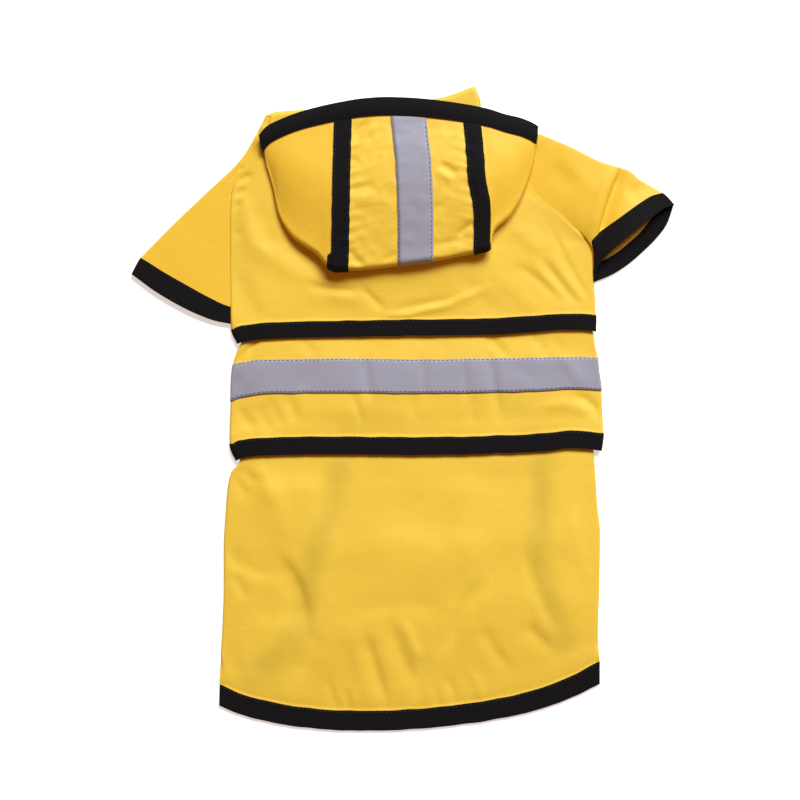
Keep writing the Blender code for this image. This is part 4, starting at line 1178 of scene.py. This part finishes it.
def face_binding(looks):
    """Binding of the hood's face edge, with its stitches."""
    runs = np.linspace(0.0, HOOD_BINDING_WIDTH, FACE_ROWS)
    grid = face_rows(runs)
    grid[:, :, 2] += HOOD_BINDING_ROUND * np.sin(math.pi * runs / HOOD_BINDING_WIDTH)[:, None]
    binding = grid_mesh("hood_face_binding_tape", grid)
    thicken(binding, HOOD_BINDING, HOOD_ROUNDING)
    dress(binding, looks["binding"], "binding_fabric", "hood_face_binding")
    inset = HOOD_BINDING_WIDTH - STITCH_INSET
    sewing = edge_stitches("hood_face_binding_stitches", face_rows((inset, inset + 1.0)),
                           looks["black_thread"], "binding_fabric", HOOD_BINDING)
    return [binding, sewing]


def rib_range(first, last):
    """Rib numbers of a grid's columns."""
    return np.arange(first, last + RIB_STEP / 2, RIB_STEP)


def hood(looks):
    """The hood's three panels, its tapes and its bound face edge."""
    panels = {}
    # painted shade: the side panels take the deeper copy of the cloth colour
    for side, look, first, last in (
            ("left", "painted_shade_cloth", HOOD_OUTER, HOOD_LEFT_SEAM),
            ("centre", "cloth", HOOD_LEFT_SEAM, HOOD_RIGHT_SEAM),
            ("right", "painted_shade_cloth", HOOD_RIGHT_SEAM, HOOD_END - HOOD_OUTER)):
        grid = hood_grid(rib_range(first, last), HOOD_BINDING_WIDTH - TUCK)
        panel = grid_mesh(f"hood_{side}_cloth", grid)
        thicken(panel, SHELL)
        dress(panel, looks[look], "shell_fabric", f"hood_{side}")
        panels[side] = (panel, grid)
    tapes = {row[0]: hood_tape(dict(zip(TAPE_COLUMNS, row)), looks) for row in HOOD_TAPES}
    declare(*panels["left"], ["hood_under"], tapes["hood_seam_left"])
    declare(*panels["centre"], ["hood_under"], face_binding(looks) + tapes["hood_strip"])
    declare(*panels["right"], ["hood_under"], tapes["hood_seam_right"])


# ---------------------------------------------------------------- finishes

def group(name, inputs, outputs):
    """Empty shader node group with named sockets."""
    tree = bpy.data.node_groups.new(name, "ShaderNodeTree")
    for label, kind, value in inputs:
        socket = tree.interface.new_socket(label, in_out="INPUT", socket_type=kind)
        if value is not None:
            socket.default_value = value
    for label in outputs:
        tree.interface.new_socket(label, in_out="OUTPUT", socket_type="NodeSocketFloat")
    return tree, tree.nodes.new("NodeGroupInput"), tree.nodes.new("NodeGroupOutput")


def add(tree, kind, links=None, **settings):
    """Adds a node. Settings are its properties, and links feed its inputs."""
    node = tree.nodes.new(kind)
    for name, value in settings.items():
        setattr(node, name, value)
    for name, source in (links or {}).items():
        if isinstance(source, bpy.types.NodeSocket):
            tree.links.new(source, node.inputs[name])
        else:
            node.inputs[name].default_value = source
    return node


def math_node(tree, operation, first, second):
    """Output of one sum on two values or sockets."""
    return add(tree, "ShaderNodeMath", {0: first, 1: second}, operation=operation).outputs[0]


def wave(tree, distance, pitch):
    """Sine wave along a distance, from -1 to 1."""
    turns = math_node(tree, "MULTIPLY", math_node(tree, "DIVIDE", distance, pitch), 2 * math.pi)
    return math_node(tree, "SINE", turns, 0.0)


def weave_group():
    """Threads of plain cloth: long uneven yarns along both ways of the cloth."""
    tree, given, out = group("weave", (("Vector", "NodeSocketVector", None),
                                       ("Yarn", "NodeSocketFloat", 0.0006),
                                       ("Slub", "NodeSocketFloat", 0.5)), ("Height", "Shade"))
    parts = add(tree, "ShaderNodeSeparateXYZ", {0: given.outputs["Vector"]})
    yarns = [wave(tree, parts.outputs[axis], given.outputs["Yarn"]) for axis in ("X", "Y")]
    checks = math_node(tree, "MULTIPLY", *yarns)
    stretched = add(tree, "ShaderNodeVectorMath", {0: given.outputs["Vector"],
                                                   1: (28.0, 700.0, 1.0)}, operation="MULTIPLY")
    slub = add(tree, "ShaderNodeTexNoise", {"Vector": stretched.outputs[0], "Scale": 1.0,
                                            "Detail": 2.0, "Roughness": 0.6})
    centred = math_node(tree, "SUBTRACT", slub.outputs["Fac"], 0.5)
    slubs = math_node(tree, "MULTIPLY", centred, given.outputs["Slub"])
    height = math_node(tree, "ADD", math_node(tree, "MULTIPLY", checks, 0.25), slubs)
    tree.links.new(height, out.inputs["Height"])
    tree.links.new(slubs, out.inputs["Shade"])
    return tree


def rib_group():
    """Slanting ribs of binding tape."""
    tree, given, out = group("twill_ribs", (("Vector", "NodeSocketVector", None),
                                            ("Pitch", "NodeSocketFloat", 0.0020)), ("Height",))
    parts = add(tree, "ShaderNodeSeparateXYZ", {0: given.outputs["Vector"]})
    slanted = math_node(tree, "SUBTRACT", parts.outputs["X"],
                        math_node(tree, "MULTIPLY", parts.outputs["Y"], 0.8))
    ribs = wave(tree, slanted, given.outputs["Pitch"])
    rough = add(tree, "ShaderNodeTexNoise", {"Vector": given.outputs["Vector"],
                                             "Scale": 2600.0, "Detail": 2.0})
    height = math_node(tree, "ADD", math_node(tree, "MULTIPLY", ribs, 0.6),
                       math_node(tree, "MULTIPLY", rough.outputs["Fac"], 1.6))
    tree.links.new(height, out.inputs["Height"])
    return tree


def new_material(name, values):
    """Material with a Principled shader, whose plain values are set by their names."""
    made = bpy.data.materials.new(name)
    made.use_nodes = True
    shader = made.node_tree.nodes["Principled BSDF"]
    for label, value in values.items():
        shader.inputs[label].default_value = value
    return made, made.node_tree, shader


def mix_colour(tree, share, first, second):
    """Blend of two colours."""
    colours = {6 + place: colour if isinstance(colour, bpy.types.NodeSocket) else (*colour, 1.0)
               for place, colour in enumerate((first, second))}
    return add(tree, "ShaderNodeMix", {0: share, **colours}, data_type="RGBA").outputs[2]


def bump(tree, height, distance, strength, under=None):
    """Normal from a height, on top of another normal if one is given."""
    links = {"Height": height, "Distance": distance, "Strength": strength}
    if under is not None:
        links["Normal"] = under
    return add(tree, "ShaderNodeBump", links).outputs["Normal"]


def on_cloth(tree, pattern):
    """Pattern group that follows the cloth's own lengths."""
    uv = add(tree, "ShaderNodeUVMap", uv_map=UV_NAME)
    return add(tree, "ShaderNodeGroup", {"Vector": uv.outputs["UV"]}, node_tree=pattern)


def speckle(tree, scale, detail, roughness=0.5):
    """Noise that stays with the piece, from 0 to 1."""
    place = add(tree, "ShaderNodeTexCoord")
    return add(tree, "ShaderNodeTexNoise", {"Vector": place.outputs["Object"], "Scale": scale,
                                            "Detail": detail, "Roughness": roughness}).outputs["Fac"]


def shell_fabric(weave, name, deep, pale):
    """Thin coated yellow cloth with a soft sheen, between a deep and a pale shade."""
    made, tree, shader = new_material(name, {"Roughness": 0.48, "Specular IOR Level": 0.3})
    cloth = on_cloth(tree, weave)
    shade = math_node(tree, "ADD", math_node(tree, "MULTIPLY", cloth.outputs["Shade"], 0.7),
                      math_node(tree, "MULTIPLY", speckle(tree, 22.0, 3.0), 0.5))
    yellow = mix_colour(tree, math_node(tree, "ADD", shade, 0.25), deep, pale)
    ghost = add(tree, "ShaderNodeAttribute", attribute_name=GHOST)
    seen = math_node(tree, "MULTIPLY", ghost.outputs["Fac"], GHOST_STRENGTH)
    tree.links.new(mix_colour(tree, seen, yellow, GHOST_COLOUR), shader.inputs["Base Color"])
    crinkled = bump(tree, speckle(tree, 160.0, 4.0, 0.55), 0.0006, 0.3)
    tree.links.new(bump(tree, cloth.outputs["Height"], 0.00012, 0.7, crinkled),
                   shader.inputs["Normal"])
    return made


def binding_fabric(ribs):
    """Black twill tape, with a painted highlight where its ribs stand up and painted shade between
    them.
    """
    made, tree, shader = new_material("black_binding_tape", {
        "Roughness": 0.75, "Sheen Weight": 0.02, "Specular IOR Level": 0.16})
    twill = on_cloth(tree, ribs)
    # painted highlight on the rib tops and painted shade in the grooves, with random mottling
    rib_light_and_shade = math_node(tree, "MULTIPLY", twill.outputs["Height"], 0.45)
    tree.links.new(mix_colour(tree, rib_light_and_shade, BINDING_DEEP, BINDING_PALE), shader.inputs["Base Color"])
    tree.links.new(bump(tree, twill.outputs["Height"], 0.00022, 0.7), shader.inputs["Normal"])
    return made


def reflective_tape(weave):
    """Grey reflective tape: a satin face of fine beads on cloth."""
    made, tree, shader = new_material("grey_reflective_tape", {
        "Roughness": 0.42, "Specular IOR Level": 0.4})
    backing = on_cloth(tree, weave)
    shade = math_node(tree, "ADD", math_node(tree, "MULTIPLY", speckle(tree, 3500.0, 1.0), 0.5),
                      math_node(tree, "ADD", backing.outputs["Shade"], 0.25))
    tree.links.new(mix_colour(tree, shade, TAPE_DEEP, TAPE_PALE), shader.inputs["Base Color"])
    tree.links.new(bump(tree, backing.outputs["Height"], 0.0001, 0.6), shader.inputs["Normal"])
    return made


def thread(name, colour):
    """Twisted sewing thread, with painted shade between its strands."""
    made, tree, shader = new_material(name, {"Roughness": 0.6})
    twist = speckle(tree, 4000.0, 1.0)
    # painted shade: darker where the twist's bumps sink between the strands
    dark = tuple(part * 0.6 for part in colour)
    tree.links.new(mix_colour(tree, twist, dark, colour), shader.inputs["Base Color"])
    tree.links.new(bump(tree, twist, 0.0001, 0.5), shader.inputs["Normal"])
    return made


def floor_finish():
    """Plain white table, which glows a little to the camera alone."""
    made, tree, shader = new_material("white_table", {
        "Base Color": TABLE_WHITE, "Roughness": 0.9, "Specular IOR Level": 0.1,
        "Emission Strength": 0.55})
    seen = add(tree, "ShaderNodeLightPath").outputs["Is Camera Ray"]
    tree.links.new(mix_colour(tree, seen, BLACK, WHITE), shader.inputs["Emission Color"])
    return made


# ---------------------------------------------------------------- room

def linked(name, data, place):
    """Scene object that holds a camera or a lamp."""
    made = bpy.data.objects.new(name, data)
    made.location = place
    bpy.context.scene.collection.objects.link(made)
    return made


def camera():
    """Straight down on the coat."""
    data = bpy.data.cameras.new("camera")
    data.sensor_width = SENSOR
    data.lens = SENSOR * CAMERA_PLACE[2] / VIEW_WIDTH
    bpy.context.scene.camera = linked("camera", data, CAMERA_PLACE)


def key_lamp():
    """One wide soft lamp beyond the neck, which points at the coat."""
    data = bpy.data.lights.new("key_lamp", "AREA")
    data.shape = "RECTANGLE"
    data.size, data.size_y = LAMP_SIZE
    data.energy = LAMP_POWER
    made = linked("key_lamp", data, LAMP_PLACE)
    made.rotation_euler = (-Vector(LAMP_PLACE)).to_track_quat("-Z", "Y").to_euler()


def room():
    """White table, and a surround that is pale to the camera and warm and dim to the cloth."""
    mesh = bmesh.new()
    bmesh.ops.create_grid(mesh, x_segments=2, y_segments=2, size=TABLE_HALF)
    bmesh.ops.translate(mesh, verts=mesh.verts, vec=(0, 0, -TABLE_CLEAR))
    floor = finished("floor", mesh)
    floor.data.materials.append(floor_finish())
    world = bpy.data.worlds.new("surround")
    world.use_nodes = True
    tree = world.node_tree
    seen = add(tree, "ShaderNodeLightPath").outputs["Is Camera Ray"]
    tree.links.new(mix_colour(tree, seen, SURROUND_WARM, SURROUND_PALE),
                   tree.nodes["Background"].inputs["Color"])
    bpy.context.scene.world = world
    bpy.context.scene.view_settings.view_transform = "Standard"


def main():
    """Sets up the room and the looks, and sews the coat."""
    camera()
    room()
    key_lamp()
    weave = weave_group()
    looks = {
        "cloth": shell_fabric(weave, "yellow_rain_cloth", CLOTH_DEEP, CLOTH_PALE),
        # painted shade: a deeper copy of the cloth colour that stands in for less sheen and light
        "painted_shade_cloth": shell_fabric(weave, "yellow_rain_cloth_painted_shade", PAINTED_SHADE_CLOTH_DEEP,
                                   PAINTED_SHADE_CLOTH_PALE),
        "binding": binding_fabric(rib_group()),
        "tape": reflective_tape(weave),
        "black_thread": thread("black_thread", BLACK_THREAD),
        "grey_thread": thread("grey_thread", GREY_THREAD),
    }
    for name in TIERS:
        back_tier(name, looks)
    for row in FRONTS:
        front(dict(zip(FRONT_COLUMNS, row)), looks)
    for row in SLEEVES:
        sleeve(dict(zip(SLEEVE_COLUMNS, row)), looks)
    hood(looks)
    hidden_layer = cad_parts["hood_under"]
    hidden_layer.data.materials.clear()
    hidden_layer.data.materials.append(looks["cloth"])


main()
